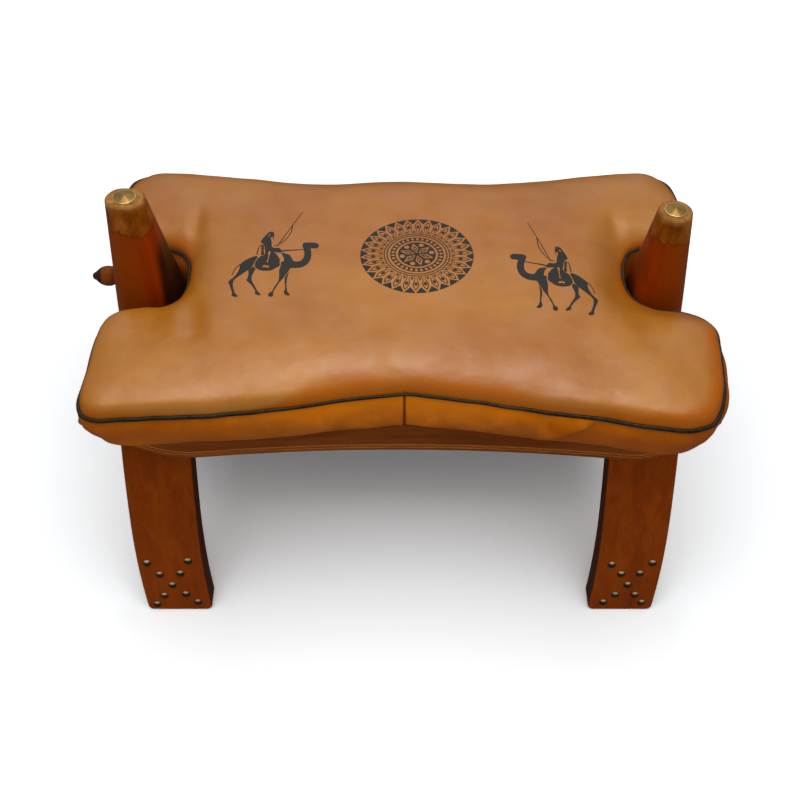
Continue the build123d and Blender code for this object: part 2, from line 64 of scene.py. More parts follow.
# Piping: the route of the cord round the top seam, counter-clockwise from the seam
# in the middle of the front
piping_route = [
    (4, -156, 330), (55, -162.5, 329.5), (106.5, -171, 328), (151.5, -177.5, 326), (186, -181, 324),
    (214, -186.5, 322), (241, -189.5, 320.5), (264, -188.5, 319), (278, -183, 318.5), (288.5, -168.5, 319),
    (295.5, -145, 320), (299, -120, 321), (301.5, -90, 322), (300.5, -64, 323), (292.5, -52, 324),
    (272, -43.5, 325), (246, -40, 326), (230, -28, 326.5), (223.5, -10, 326.5), (223, 8, 326.5),
    (226, 28, 326.5), (234, 44, 326.5), (250, 53, 326), (273, 58, 325.5), (289, 68, 325), (295.5, 88, 325),
    (296.5, 115, 325), (295, 141, 325.5), (288.5, 160.5, 326), (271, 171, 326.5), (243, 170, 327),
    (208, 164.5, 327.5), (165, 155.5, 328), (125, 148, 328.5), (86, 144.5, 329), (45, 146.5, 329),
    (4, 149, 329), (-38, 147, 329), (-78, 144, 329), (-118, 148.5, 328.5), (-160, 157.5, 328),
    (-205, 165, 327.5), (-245, 170.5, 327), (-273, 172, 326.5), (-288.5, 162, 326), (-293.5, 142, 325.5),
    (-292, 115, 325), (-288.5, 88, 325), (-281, 69, 325), (-263, 58.5, 325.5), (-242, 52.5, 326),
    (-224, 44, 326.5), (-213.5, 28, 326.5), (-210.5, 8, 326.5), (-211, -12, 326.5), (-217, -30, 326.5),
    (-231, -40, 326), (-252, -44.5, 325.5), (-271, -47, 324.5), (-283, -55, 323.5), (-287.5, -74, 322.5),
    (-289, -105, 321.5), (-290, -140, 321), (-290.5, -160, 320.5), (-285, -172.5, 320.5),
    (-271, -179.5, 321), (-246.5, -178.5, 322), (-221.5, -178, 323), (-186, -178, 324.5),
    (-147, -175.5, 326), (-107, -172, 328), (-51.5, -163, 329.5),
]
seam_inset = 1.2
# Hand-sewn unevenness of the piping: waves round the whole seam, sideways and up
wobble_aside = ((29, 0.22, 0.6), (53, 0.14, 2.0))
wobble_up = ((37, 0.22, 1.1), (61, 0.14, 0.3))
seam_x = 4.0
column_step = 3.0
seam_columns = (-3.0, -1.8, -0.9, 0.0, 0.9, 1.8, 3.0)


def to_frame(points):
    """Points in millimetres from the middle of the feet, as metres in the shared frame."""
    return np.asarray(points, float) * mm + feet_middle


# Curves

def closed_curve(points, fine=12):
    """A smooth closed curve through the points, with fine steps between each pair."""
    points = np.asarray(points, float)
    before = np.roll(points, 1, axis=0)
    after = np.roll(points, -1, axis=0)
    later = np.roll(points, -2, axis=0)
    run_before = np.linalg.norm(points - before, axis=1)[:, None]
    run = np.linalg.norm(after - points, axis=1)[:, None]
    run_after = np.linalg.norm(later - after, axis=1)[:, None]
    leave = (after - points) * run_before / (run_before + run)
    leave += (points - before) * run * run / (run_before * (run_before + run))
    arrive = (later - after) * run * run / (run_after * (run + run_after))
    arrive += (after - points) * run_after / (run + run_after)
    pieces = []
    for step in range(fine):
        t = step / fine
        pieces.append(
            (2 * t**3 - 3 * t**2 + 1) * points + (t**3 - 2 * t**2 + t) * leave
            + (-2 * t**3 + 3 * t**2) * after + (t**3 - t**2) * arrive)
    return np.stack(pieces, axis=1).reshape(-1, points.shape[1])


def run_along(loop):
    """A polyline closed with its first point, and how far along it each point lies."""
    closed = np.vstack([loop, loop[:1]])
    steps = np.linalg.norm(np.diff(closed, axis=0), axis=1)
    return closed, np.concatenate([[0], np.cumsum(steps)])


def along_loop(loop, places):
    """Points at the given distances along a closed polyline."""
    closed, distance = run_along(loop)
    places = np.mod(places, distance[-1])
    return np.stack([np.interp(places, distance, closed[:, k]) for k in range(loop.shape[1])], axis=1)


def inward_normals(loop):
    """Unit normals in the plane that point inside a counter-clockwise loop."""
    along = np.roll(loop[:, :2], -1, axis=0) - np.roll(loop[:, :2], 1, axis=0)
    along /= np.linalg.norm(along, axis=1)[:, None]
    return np.stack([-along[:, 1], along[:, 0]], axis=1)


def nearest_on_loop(points, loop, batch=500):
    """For each point the distance to a closed polyline and the index of its nearest side."""
    run = np.roll(loop, -1, axis=0) - loop
    squared = (run**2).sum(1)
    distance = np.zeros(len(points))
    index = np.zeros(len(points), int)
    for start in range(0, len(points), batch):
        part = points[start:start + batch, None, :]
        share = np.clip(((part - loop) * run).sum(2) / squared, 0, 1)
        gap = np.linalg.norm(part - (loop + share[..., None] * run), axis=2)
        distance[start:start + batch] = gap.min(1)
        index[start:start + batch] = gap.argmin(1)
    return distance, index


def inside_loop(points, loop):
    """Whether each point lies inside a closed polyline."""
    inside = np.zeros(len(points), bool)
    for (x0, y0), (x1, y1) in zip(loop, np.roll(loop, -1, axis=0)):
        crosses = (y0 > points[:, 1]) != (y1 > points[:, 1])
        with np.errstate(divide="ignore", invalid="ignore"):
            at_x = x0 + (points[:, 1] - y0) * (x1 - x0) / (y1 - y0)
        inside ^= crosses & (points[:, 0] < at_x)
    return inside


def smooth_share(value, low, high):
    """0 at low, 1 at high, smooth between."""
    t = np.clip((value - low) / (high - low), 0, 1)
    return t * t * (3 - 2 * t)


def hump(x, y, middle, widths):
    """1 at the middle, fading to 0 over the widths."""
    return np.exp(-((x - middle[0]) / widths[0])**2 - ((y - middle[1]) / widths[1])**2)


# Columns of the cushion: where the seam loop is sampled

def cushion_columns():
    """The piping line sampled all round, with extra columns at the two side seams."""
    fine = closed_curve(piping_route)
    distance = run_along(fine)[1]
    length = distance[-1]
    even = np.arange(0, length, length / round(length / column_step))
    quarter = len(fine) // 4
    rear = distance[quarter + np.abs(fine[quarter:3 * quarter, 0] - seam_x).argmin()]
    seams = (0.0, rear)
    extra = [seam + offset for seam in seams for offset in seam_columns]
    reach = seam_columns[-1] + 1
    clear = [place for place in even if all(
        abs((place - seam + length / 2) % length - length / 2) > reach for seam in seams)]
    places = np.sort(np.mod(np.array(clear + extra), length))
    line = along_loop(fine, places)
    turn = 2 * np.pi * places / length
    aside = sum(size * np.sin(count * turn + start) for count, size, start in wobble_aside)
    up = sum(size * np.sin(count * turn + start) for count, size, start in wobble_up)
    line[:, :2] += aside[:, None] * inward_normals(line)
    line[:, 2] += up
    return line


columns = cushion_columns()
normals = inward_normals(columns)


def ring(inset, z=None):
    """The piping line moved inset mm inwards, at height z or at the seam."""
    plan = columns[:, :2] + inset * normals
    height = columns[:, 2] if z is None else np.broadcast_to(z, len(columns))
    return np.column_stack([plan, height])


# Meshes in plan

merge_distance = 1e-6
solve_rounds = 600
solve_error = 1e-9


def triangulate(loops, points):
    """Points and triangles of the area inside an odd number of closed loops, and which
    of the given points each new one comes from."""
    coords = [Vector(p) for p in np.vstack([*loops, points])]
    edges = []
    for loop in loops:
        first = len(edges)
        edges += [(first + k, first + (k + 1) % len(loop)) for k in range(len(loop))]
    made = delaunay_2d_cdt(coords, edges, [], 0, merge_distance, True)
    plan = np.array([tuple(v) for v in made[0]])
    triangles = np.array([f for f in made[2] if len(f) == 3])
    middles = plan[triangles].mean(1)
    kept = np.zeros(len(triangles), bool)
    for loop in loops:
        kept ^= inside_loop(middles, loop)
    return plan, triangles[kept], made[3]


def rim_numbers(origins, count):
    """The new number of each of the first count points that were triangulated."""
    numbers = np.zeros(count, int)
    for number, sources in enumerate(origins):
        for source in sources:
            if source < count:
                numbers[source] = number
    return numbers


def grid_points(loop, step, clearance):
    """Staggered grid of points at least clearance inside a loop."""
    low, high = loop.min(0), loop.max(0)
    row_step = step * math.sqrt(3) / 2
    points = []
    for number, y in enumerate(np.arange(low[1], high[1], row_step)):
        x = np.arange(low[0] + (number % 2) * step / 2, high[0], step)
        points.append(np.column_stack([x, np.full(len(x), y)]))
    points = np.vstack(points)
    points = points[inside_loop(points, loop)]
    distance, _ = nearest_on_loop(points, loop)
    return points[distance > clearance]


def stiffness(plan, triangles):
    """Edges, their weights and each point's area, for solving on the mesh in plan."""
    edges, weights = [], []
    area = np.zeros(len(plan))
    for k in range(3):
        a, b, c = (triangles[:, (k + step) % 3] for step in range(3))
        u, v = plan[a] - plan[c], plan[b] - plan[c]
        cross = np.abs(u[:, 0] * v[:, 1] - u[:, 1] * v[:, 0])
        edges.append(np.column_stack([a, b]))
        weights.append(0.5 * (u * v).sum(1) / np.maximum(cross, solve_error))
        np.add.at(area, a, cross / 6)
    return np.vstack(edges), np.concatenate(weights), area


def solve(plan, triangles, fixed, values, length=None):
    """Solve for a field that is held at the fixed points and smooth elsewhere. With a
    length it also tends to 1 over that distance."""
    edges, weights, area = stiffness(plan, triangles)
    pull = area / length**2 if length else solve_error * area
    free = np.ones(len(plan), bool)
    free[fixed] = False

    def apply(field):
        flow = weights * (field[edges[:, 0]] - field[edges[:, 1]])
        result = np.bincount(edges[:, 0], flow, len(plan)) - np.bincount(edges[:, 1], flow, len(plan))
        return result + pull * field

    held = np.zeros(len(plan))
    held[fixed] = values
    load = (pull if length else 0) - apply(held)
    load[~free] = 0
    diagonal = np.bincount(edges.ravel(), np.repeat(weights, 2), len(plan)) + pull
    field = np.zeros(len(plan))
    residual = load.copy()
    scaled = residual / diagonal
    direction = scaled.copy()
    size = residual @ scaled
    for _ in range(solve_rounds):
        step = apply(direction)
        step[~free] = 0
        share = size / (direction @ step)
        field += share * direction
        residual -= share * step
        if np.abs(residual).max() < solve_error:
            break
        scaled = residual / diagonal
        size, last = residual @ scaled, size
        direction = scaled + size / last * direction
    return field + held


# Crown: the height of the top panel, by places measured from the middle seams

crown_z = 356.0
# Mesh of the crown: rows just inside the seam, then a staggered grid
strip_rows = (1.2, 2.6, 4.2, 6.2, 8.6)
grid_step = 5.0
grid_clear_share = 0.6
# How far inwards the solved depth tells places apart, and where it ends
smooth_length = 11.0
least_share = 1e-5
# The top drops towards the ends and the long edges, and swells at the rear left
end_drop = 10.0
end_drop_x = (110, 300)
long_edge_sag = 2.0
long_edge_y = (60, 170)
rear_left_swell = 2.0
rear_left_spot = ((-243, 150), (30, 26))
# Soft troughs pressed into the crown: start, end, half width and depth
valleys = [
    ((-209, 96), (-207, 32), 7, 5.5),
    ((-204, -26), (-193, -92), 13, 4.2),
    ((-246, -56), (-236, -96), 15, 2.4),
    ((220, 88), (221, 30), 9, 5.5),
    ((229, -42), (237, -100), 17, 3.6),
    ((150, -100), (196, -150), 22, 1.6),
    ((-150, -96), (-120, -60), 24, 1.2),
]
valley_start_shares = (-0.2, 0.5)
# Values that differ by place: at the waist, in the rear of the lobes, in their front
edge_rises = (9.0, 9.5, 13.5)
roll_lengths = (15.0, 25.0, 38.0)
lobe_x = (60, 220)
lobe_front_y = (20, 110)
edge_length = 2.8
overhang = 1.9
overhang_depth = 9.0
# The crown starts lower at the rear corners and higher beside the left notch
rear_corner_spot = ((290, 160), (20, 26))
rear_corner_loss = 5.0
left_notch_spot = ((-262, -48), (26, 16))
left_notch_gain = 1.0
# Beside the posts the crown rises gently: places of the notches, and values there
notch_y = 4
notch_half = 66
notch_x = (180, 210)
tight_x = (225, 250)
notch_front_y = (0, 20)
soft_rise_left = 8.0
soft_rise_right = 2.6
soft_length = 7.0
soft_roll_length = 40.0


def valley_depth(plan):
    """How far the troughs lower each point."""
    total = np.zeros(len(plan))
    for start, end, width, depth in valleys:
        start, end = np.array(start, float), np.array(end, float)
        run = end - start
        share = ((plan - start) @ run) / (run @ run)
        gap = np.linalg.norm(plan - (start + np.clip(share, 0, 1)[:, None] * run), axis=1)
        fade = smooth_share(share, *valley_start_shares)
        total += depth * fade * np.exp(-(gap / width)**2)
    return total


def waves(x, y):
    """Slow uneven waves of leather over stuffing, about 1 mm high."""
    return (
        0.5 * np.sin(x / 37 + 1.3) * np.cos(y / 29 + 0.4)
        + 0.35 * np.sin(x / 19 - y / 23 + 2.1)
        + 0.3 * np.cos(x / 53 + y / 17 + 0.7))


def from_seam(plan):
    """Places to the right of the middle seams, and places to the rear."""
    return plan[:, 0] - seam_x, plan[:, 1]


def crown_top(plan):
    """Height of the crown away from its edges."""
    x, y = from_seam(plan)
    ends = end_drop * smooth_share(np.abs(x), *end_drop_x)
    sag = long_edge_sag * smooth_share(np.abs(y), *long_edge_y)
    rear_left = rear_left_swell * hump(x, y, *rear_left_spot)
    return crown_z - ends - sag + rear_left + waves(x, y) - valley_depth(plan)


def rear_corners(plan):
    """1 at the two rear corners, where the crown starts low behind its piping."""
    x, y = from_seam(plan)
    return hump(np.abs(x), y, *rear_corner_spot)


def notch_softness(plan):
    """1 where the crown rises gently beside the posts, 0 elsewhere."""
    x, y = from_seam(plan)
    beside = smooth_share(np.abs(x), *notch_x) * np.exp(-(np.abs(y - notch_y) / notch_half)**6)
    tight = smooth_share(-x, *tight_x) * smooth_share(-y, *notch_front_y)
    return beside * (1 - tight)


def by_place(plan, waist, rear, front):
    """A value that goes from the waist's to the lobes', which goes from rear to front."""
    x, y = from_seam(plan)
    lobe = rear + (front - rear) * smooth_share(-y, *lobe_front_y)
    return waist + (lobe - waist) * smooth_share(np.abs(x), *lobe_x)


def roll_length(plan):
    """How far inwards the crown keeps rising."""
    x, y = from_seam(plan)
    length = by_place(plan, *roll_lengths)
    right_notch = notch_softness(plan) * (x > 0) * smooth_share(-y, *notch_front_y)
    return length + (soft_roll_length - length) * right_notch


def edge_rise(plan):
    """Height of the first steep roll above the piping, and its length inwards."""
    x, y = from_seam(plan)
    rise = by_place(plan, *edge_rises) + left_notch_gain * hump(x, y, *left_notch_spot)
    rise = rise - rear_corner_loss * rear_corners(plan)
    soft = notch_softness(plan)
    soft_rise = np.where(x > 0, soft_rise_right, soft_rise_left)
    return rise + (soft_rise - rise) * soft, edge_length + (soft_length - edge_length) * soft


def crown_mesh():
    """Vertices and faces of the top panel. The first ring of vertices is the seam."""
    seam = ring(seam_inset)
    count = len(seam)
    rings = [seam[:, :2]] + [ring(seam_inset + row)[:, :2] for row in strip_rows]
    fill = grid_points(rings[-1], grid_step, grid_clear_share * grid_step)
    plan, triangles, origins = triangulate([rings[-1]], fill)
    offset = count * (len(rings) - 1)
    plan = np.vstack(rings[:-1] + [plan])
    triangles = triangles + offset
    index = [np.arange(count) + k * count for k in range(len(rings) - 1)]
    index.append(rim_numbers(origins, count) + offset)
    quads = np.vstack([
        np.column_stack([outer, np.roll(outer, -1), np.roll(inner, -1), inner])
        for outer, inner in zip(index[:-1], index[1:])])
    split = np.vstack([quads[:, [0, 1, 2]], quads[:, [0, 2, 3]], triangles])
    rim = np.arange(count)
    held = solve(plan, split, rim, np.zeros(count), smooth_length)
    depth = -smooth_length * np.log(np.clip(1 - held, least_share, 1))
    seam_height = solve(plan, split, rim, seam[:, 2])
    rise, run = edge_rise(plan)
    height = seam_height + rise * (1 - np.exp(-depth / run))
    height += (crown_top(plan) - seam_height - rise) * (1 - np.exp(-depth / roll_length(plan)))
    push = overhang * (1 - rear_corners(plan)) * np.sin(np.pi * np.clip(depth / overhang_depth, 0, 1))
    _, nearest = nearest_on_loop(plan, seam[:, :2])
    moved = plan - push[:, None] * normals[nearest]
    faces = [tuple(face) for face in quads] + [tuple(face) for face in triangles]
    return np.column_stack([moved, height]), faces, count, edge_dye_and_shade(plan, depth)


# How far the deeper, redder colour reaches in from the front piping, by place along it,
# and how far along the rear piping and beside the posts. It is partly the leather's
# deeper dye and partly painted shade on the steep roll above the piping
dye_shade_places = (-290, -250, -200, -150, -110, -75, -48, 0, 50, 95, 145, 195, 250, 290)
dye_shade_reaches = (6.0, 2.5, 0.6, 0.6, 2.0, 13.0, 16.0, 8.0, 12.0, 11.0, 2.5, 6.0, 8.0, 17.0)
dye_shade_front_y = (40, 110)
dye_shade_rear_y = (60, 130)
dye_shade_reach_rear = 4.0
dye_shade_reach_notch = 9.0
dye_shade_rear_loss_share = 0.75
dye_shade_fade_power = 1.5


def edge_dye_and_shade(plan, depth):
    """How strong the deeper dye and the painted shade of the steep roll are near the piping: 1 at the seam,
    fading inwards.
    """
    x, y = plan[:, 0], plan[:, 1]
    along_front = np.interp(x, dye_shade_places, dye_shade_reaches)
    reach = dye_shade_reach_rear + (along_front - dye_shade_reach_rear) * smooth_share(-y, *dye_shade_front_y)
    reach = reach + dye_shade_reach_notch * notch_softness(plan)
    rear = smooth_share(y, *dye_shade_rear_y)
    return np.exp(-(depth / reach)**dye_shade_fade_power) * (1 - dye_shade_rear_loss_share * rear)


# The sewn side: how much of the bulge stands out at each share of the way down, and
# how far its lowest part turns under the cushion
side_shares = (
    0.03, 0.07, 0.12, 0.18, 0.25, 0.33, 0.41, 0.49, 0.57, 0.65, 0.73, 0.8, 0.86, 0.91, 0.95, 0.985, 1.0)
bulge_places = (0.0, 0.09, 0.24, 0.42, 0.6, 0.76, 1.0)
bulge_shares = (0.0, 0.25, 0.85, 1.0, 0.75, 0.15, 0.0)
under_places = (0.0, 0.7, 0.8, 0.88, 0.95, 0.985, 1.0)
under_insets = (0.0, 0.0, 0.9, 2.6, 5.6, 9.0, 13.0)
bottom_lift = 0.1
bottom_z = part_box("cushion_bottom_panel")[0].z / mm + bottom_lift
bottom_grid_step = 12.0
bottom_clearance = 8.0
# How far the side stands out from the piping line: everywhere, and what each place adds
bulge_all = 1.2
bulge_lobes = 1.4
bulge_ends = 1.0
bulge_left_end = 1.6
bulge_right_front = 5.0
bulge_notch = 0.6
bulge_left_notch_rear = 3.4
bulge_blend = 9
bulge_lobe_x = (60, 180)
bulge_end_x = (240, 290)
bulge_right_front_spot = ((285, 298), (60, 100))
bulge_left_notch_spot = ((206, 222), (24, 40))
bulge_notch_x = 195
bulge_notch_half = 62

# Folds along the front side: start and end as (x, share of the way down), how far the
# part above the fold stands out, and how wide it is
side_folds = [
    ((124, 0.88), (176, 0.03), 6.6, 13.0),
    ((200, 0.50), (222, 0.05), 1.3, 8.0),
    ((-52, 0.90), (-100, 0.30), 1.2, 10.0),
    ((-205, 0.55), (-236, 0.08), 1.2, 8.0),
]
fold_rise_shares = (-0.1, 0.35)
fold_fall_shares = (0.75, 1.1)
fold_lip = 1.3
# Dents and swellings of the front side: x, share of the way down, width along, width
# down and depth, where a negative depth stands out
side_dents = [
    (214, 0.16, 5, 0.13, 1.3), (246, 0.14, 5, 0.12, 0.9), (268, 0.14, 6, 0.14, 1.4),
    (-30, 0.55, 26, 0.2, 0.8), (62, 0.50, 30, 0.22, 0.9), (-262, 0.15, 6, 0.12, 1.1),
    (-22, 0.86, 22, 0.10, -2.2), (26, 0.86, 20, 0.10, -2.4), (100, 0.30, 18, 0.2, -1.0),
    (-150, 0.62, 30, 0.2, -0.9), (190, 0.75, 26, 0.18, -1.2), (-95, 0.75, 26, 0.16, 0.9),
    (-246, 0.92, 34, 0.14, -4.0), (-180, 0.92, 26, 0.12, 1.6), (236, 0.92, 30, 0.12, -3.0),
]
# The two front corners tuck under: corner, reach along the seam and extra inset
side_tucks = [((-290, -168), 26, 13.0), ((292, -178), 30, 8.0)]
tuck_power = 1.3
front_y = (130, 150)
long_side_y = 120
side_wave = 0.5
side_wave_x = 21
side_wave_start = 0.6
# The seam's groove and the lip beside it: inset, place from the seam and half width
groove = (2.4, 0.0, 1.1)
groove_lip = (-0.9, -3.6, 2.2)
groove_end_shares = (0.9, 1.0)


def bulge_at(points):
    """How far the sewn side stands out from the piping line, all round."""
    x, y = points[:, 0], points[:, 1]
    notch = ((np.abs(y - notch_y) < bulge_notch_half) & (np.abs(x) > bulge_notch_x)).astype(float)
    blend = np.ones(bulge_blend) / bulge_blend
    notch = np.convolve(np.tile(notch, 3), blend, "same")[len(notch):2 * len(notch)]
    bulge = bulge_all + bulge_lobes * smooth_share(np.abs(x), *bulge_lobe_x)
    bulge = bulge + bulge_ends * smooth_share(np.abs(x), *bulge_end_x)
    bulge = bulge + bulge_left_end * smooth_share(-x, *bulge_end_x)
    span_x, span_y = bulge_right_front_spot
    bulge = bulge + bulge_right_front * (smooth_share(x, *span_x) * smooth_share(-y, *span_y))
    span_x, span_y = bulge_left_notch_spot
    rear_left = smooth_share(-x, *span_x) * smooth_share(y, *span_y)
    return bulge * (1 - notch) + (bulge_notch + bulge_left_notch_rear * rear_left) * notch


def seam_groove(points):
    """Extra inset of the side along the two vertical seams."""
    x, y = from_seam(points)
    inset = sum(depth * np.exp(-((x - place) / width)**2) for depth, place, width in (groove, groove_lip))
    return np.where(np.abs(y) > long_side_y, inset, 0.0)


def side_unevenness(share):
    """Folds, dents and tucked corners of the side at one share of the way down."""
    x, y = columns[:, 0], columns[:, 1]
    drop = columns[:, 2] - bottom_z
    front = smooth_share(-y, *front_y)
    inset = np.zeros(len(columns))
    for start, end, height, width in side_folds:
        run_x, run_down = end[0] - start[0], (end[1] - start[1]) * drop
        length = np.hypot(run_x, run_down)
        gap_x, gap_down = x - start[0], (share - start[1]) * drop
        along = (gap_x * run_x + gap_down * run_down) / length**2
        above = (run_x * -gap_down + run_down * gap_x) / length * np.sign(run_x)
        fade = smooth_share(along, *fold_rise_shares) * (1 - smooth_share(along, *fold_fall_shares))
        stand = np.where(above > 0, np.exp(-above / width), np.exp(-(above / fold_lip)**2))
        inset -= height * fade * stand * front
    for place, down, along, tall, depth in side_dents:
        inset += depth * hump(x, share, (place, down), (along, tall)) * front
    for corner, reach, depth in side_tucks:
        gap = np.hypot(x - corner[0], y - corner[1])
        inset += depth * np.exp(-(gap / reach)**2) * share**tuck_power
    middle_down = np.sin(math.pi * share) * (np.abs(y) > long_side_y)
    return inset + side_wave * np.sin(x / side_wave_x + side_wave_start) * middle_down


def side_rows():
    """Rings of the sewn side from just under the seam to the bottom panel."""
    bulge = bulge_at(columns)
    drop = columns[:, 2] - bottom_z
    rings = []
    for share in side_shares:
        weight = np.interp(share, bulge_places, bulge_shares)
        under = np.interp(share, under_places, under_insets)
        inset = under - bulge * weight + (1 - weight) * seam_inset * (1 - share)
        inset = inset + seam_groove(columns) * (1 - smooth_share(share, *groove_end_shares))
        inset = inset + side_unevenness(share)
        rings.append(ring(inset[:, None], columns[:, 2] - share * drop))
    return rings


def cushion_cover():
    """The closed leather cover: crown, sewn side and bottom panel. The crown's points
    come first, each with a value of deeper dye and painted shade near the piping."""
    points, faces, count, dye_and_painted_light = crown_mesh()
    rows = side_rows()
    side_start = len(faces)
    previous = np.arange(count)
    total = len(points)
    for _ in rows:
        current = np.arange(count) + total
        total += count
        for k in range(count):
            after = (k + 1) % count
            faces.append((previous[after], previous[k], current[k], current[after]))
        previous = current
    bottom_start = len(faces)
    rim = rows[-1][:, :2]
    plan, triangles, origins = triangulate([rim], grid_points(rim, bottom_grid_step, bottom_clearance))
    at_rim = rim_numbers(origins, count)
    inner = np.setdiff1d(np.arange(len(plan)), at_rim)
    numbers = np.zeros(len(plan), int)
    numbers[at_rim] = previous
    numbers[inner] = total + np.arange(len(inner))
    bottom = np.column_stack([plan[inner], np.full(len(inner), bottom_z)])
    faces += [tuple(face) for face in numbers[triangles[:, [0, 2, 1]]]]
    return np.vstack([points, *rows, bottom]), faces, side_start, bottom_start, dye_and_painted_light


def put(name, data, place=(0, 0, 0), turn=(0, 0, 0)):
    """A new object in the scene."""
    thing = bpy.data.objects.new(name, data)
    thing.location = place
    thing.rotation_euler = turn
    bpy.context.scene.collection.objects.link(thing)
    return thing


def make_mesh(name, points, faces, materials, face_materials=None):
    """A new smooth mesh piece from points in the shared frame."""
    mesh = bpy.data.meshes.new(name)
    mesh.from_pydata([tuple(p) for p in points], [], [tuple(int(i) for i in f) for f in faces])
    for material in materials:
        mesh.materials.append(material)
    if face_materials is not None:
        mesh.polygons.foreach_set("material_index", face_materials)
    mesh.polygons.foreach_set("use_smooth", [True] * len(faces))
    mesh.update()
    return put(name, mesh)


# Printed pictures: outlines in millimetres, filled where an odd number of loops overlap

print_height = 0.15
print_step = 3.0
print_clear_share = 0.45
print_fine = 3
above_crown = 500.0


def even_steps(loop, step):
    """A closed outline with corners kept and no side longer than step."""
    loop = np.asarray(loop, float)
    points = []
    for start, end in zip(loop, np.roll(loop, -1, axis=0)):
        count = max(1, math.ceil(np.linalg.norm(end - start) / step))
        points += [start + (end - start) * k / count for k in range(count)]
    return np.array(points)


def filled(loops, step):
    """Plan points and triangles of the area inside an odd number of the loops."""
    loops = [even_steps(loop, step) for loop in loops]
    plan, triangles, _ = triangulate(loops, grid_points(loops[0], step, print_clear_share * step))
    a, b, c = (plan[triangles[:, k]] for k in range(3))
    flipped = (b - a)[:, 0] * (c - a)[:, 1] < (b - a)[:, 1] * (c - a)[:, 0]
    triangles[flipped] = triangles[flipped][:, ::-1]
    return plan, triangles


def stroke(points, widths):
    """Outline of a line drawn along points, with a width at each."""
    points = np.asarray(points, float)
    along = np.gradient(points, axis=0)
    along /= np.linalg.norm(along, axis=1)[:, None]
    aside = np.column_stack([-along[:, 1], along[:, 0]]) * np.asarray(widths)[:, None] / 2
    return np.vstack([points - aside, (points + aside)[::-1]])


def smooth_line(points, fine=5):
    """An open smooth curve through the points."""
    points = np.asarray(points, float)
    padded = np.vstack([2 * points[0] - points[1], points, 2 * points[-1] - points[-2]])
    out = []
    for k in range(1, len(padded) - 2):
        a, b, c, d = padded[k - 1:k + 3]
        for t in np.arange(fine) / fine:
            out.append(0.5 * (2 * b + (c - a) * t + (2 * a - 5 * b + 4 * c - d) * t**2
                              + (3 * b - a - 3 * c + d) * t**3))
    return np.vstack([out, points[-1]])


def drawn_line(points, start_width, end_width):
    """A shape of one smooth line that widens or thins along its way."""
    line = smooth_line(points)
    return [stroke(line, np.linspace(start_width, end_width, len(line)))]


def arc(radius, angles):
    """Points at the given angles, in degrees, round the origin."""
    angles = np.radians(np.asarray(angles, float))
    return np.column_stack([radius * np.cos(angles), radius * np.sin(angles)])


def circle(radius, count=90, middle=(0, 0)):
    return arc(radius, np.arange(count) * 360 / count) + np.asarray(middle, float)


def circle_line(radius, width):
    return [circle(radius + width / 2), circle(radius - width / 2)]


def lozenge(start, widest, end, half):
    """A four-cornered petal along +X."""
    return [(start, 0), (widest, -half), (end, 0), (widest, half)]


def turned(shape, angle):
    """A shape drawn along +X, turned about the rosette's middle."""
    turn = math.radians(angle)
    shape = np.asarray(shape, float)
    x = shape[:, 0] * math.cos(turn) - shape[:, 1] * math.sin(turn)
    y = shape[:, 0] * math.sin(turn) + shape[:, 1] * math.cos(turn)
    return np.column_stack([x, y])


# The rosette: its middle and radius, and what repeats round it. Places along the
# radius are shares of it, and widths are millimetres
rosette_middle = (16.6, 7.0)
rosette_r = 55.5
rosette_count = 30
rim_angle = 10.2
ring_shares_and_widths = ((0.578, 0.95), (0.528, 1.2), (0.466, 0.8), (0.381, 0.8))
tooth_half_angle = 5.75
tooth_tip_share = 0.862
arrow_foot_share = 0.625
arrow_tip_share = 0.69
arrow_half = 1.45
bead_share = 0.598
bead_radii = (2.0, 1.45)
bead_points = 14
petal_shares = (0.722, 0.778, 0.835)
petal_half = 1.9
leaf_tip_share = 0.93
leaf_shoulder_share = 0.80
leaf_shoulder_angle = 3.6
leaf_foot_angle = 1.2
leaf_bow = (0.3, 0.35)
leaf_lines = (0.95, 0.95, 0.95, 0.76, 0.57)
bar_half = ((0.39, -1.7), (0.402, -1.6), (0.410, -0.9), (0.438, -0.9), (0.446, -1.6), (0.457, -1.8))
# The disc in its middle, with a six-armed star cut out
disc_share = 0.333
star_count = 6
star_angle = 42.7
star_foot = 1.9
star_widest = 9.2
star_half = 3.6
star_tip_share = 0.315
star_lozenges = ((3.9, 9.0, 13.6, 2.2), (6.2, 9.0, 11.4, 0.95))
star_dot_r = 2.6
star_dot_place = 14.7
star_dot_points = 20
eye_radii_and_points = ((1.75, 18), (0.8, 12))


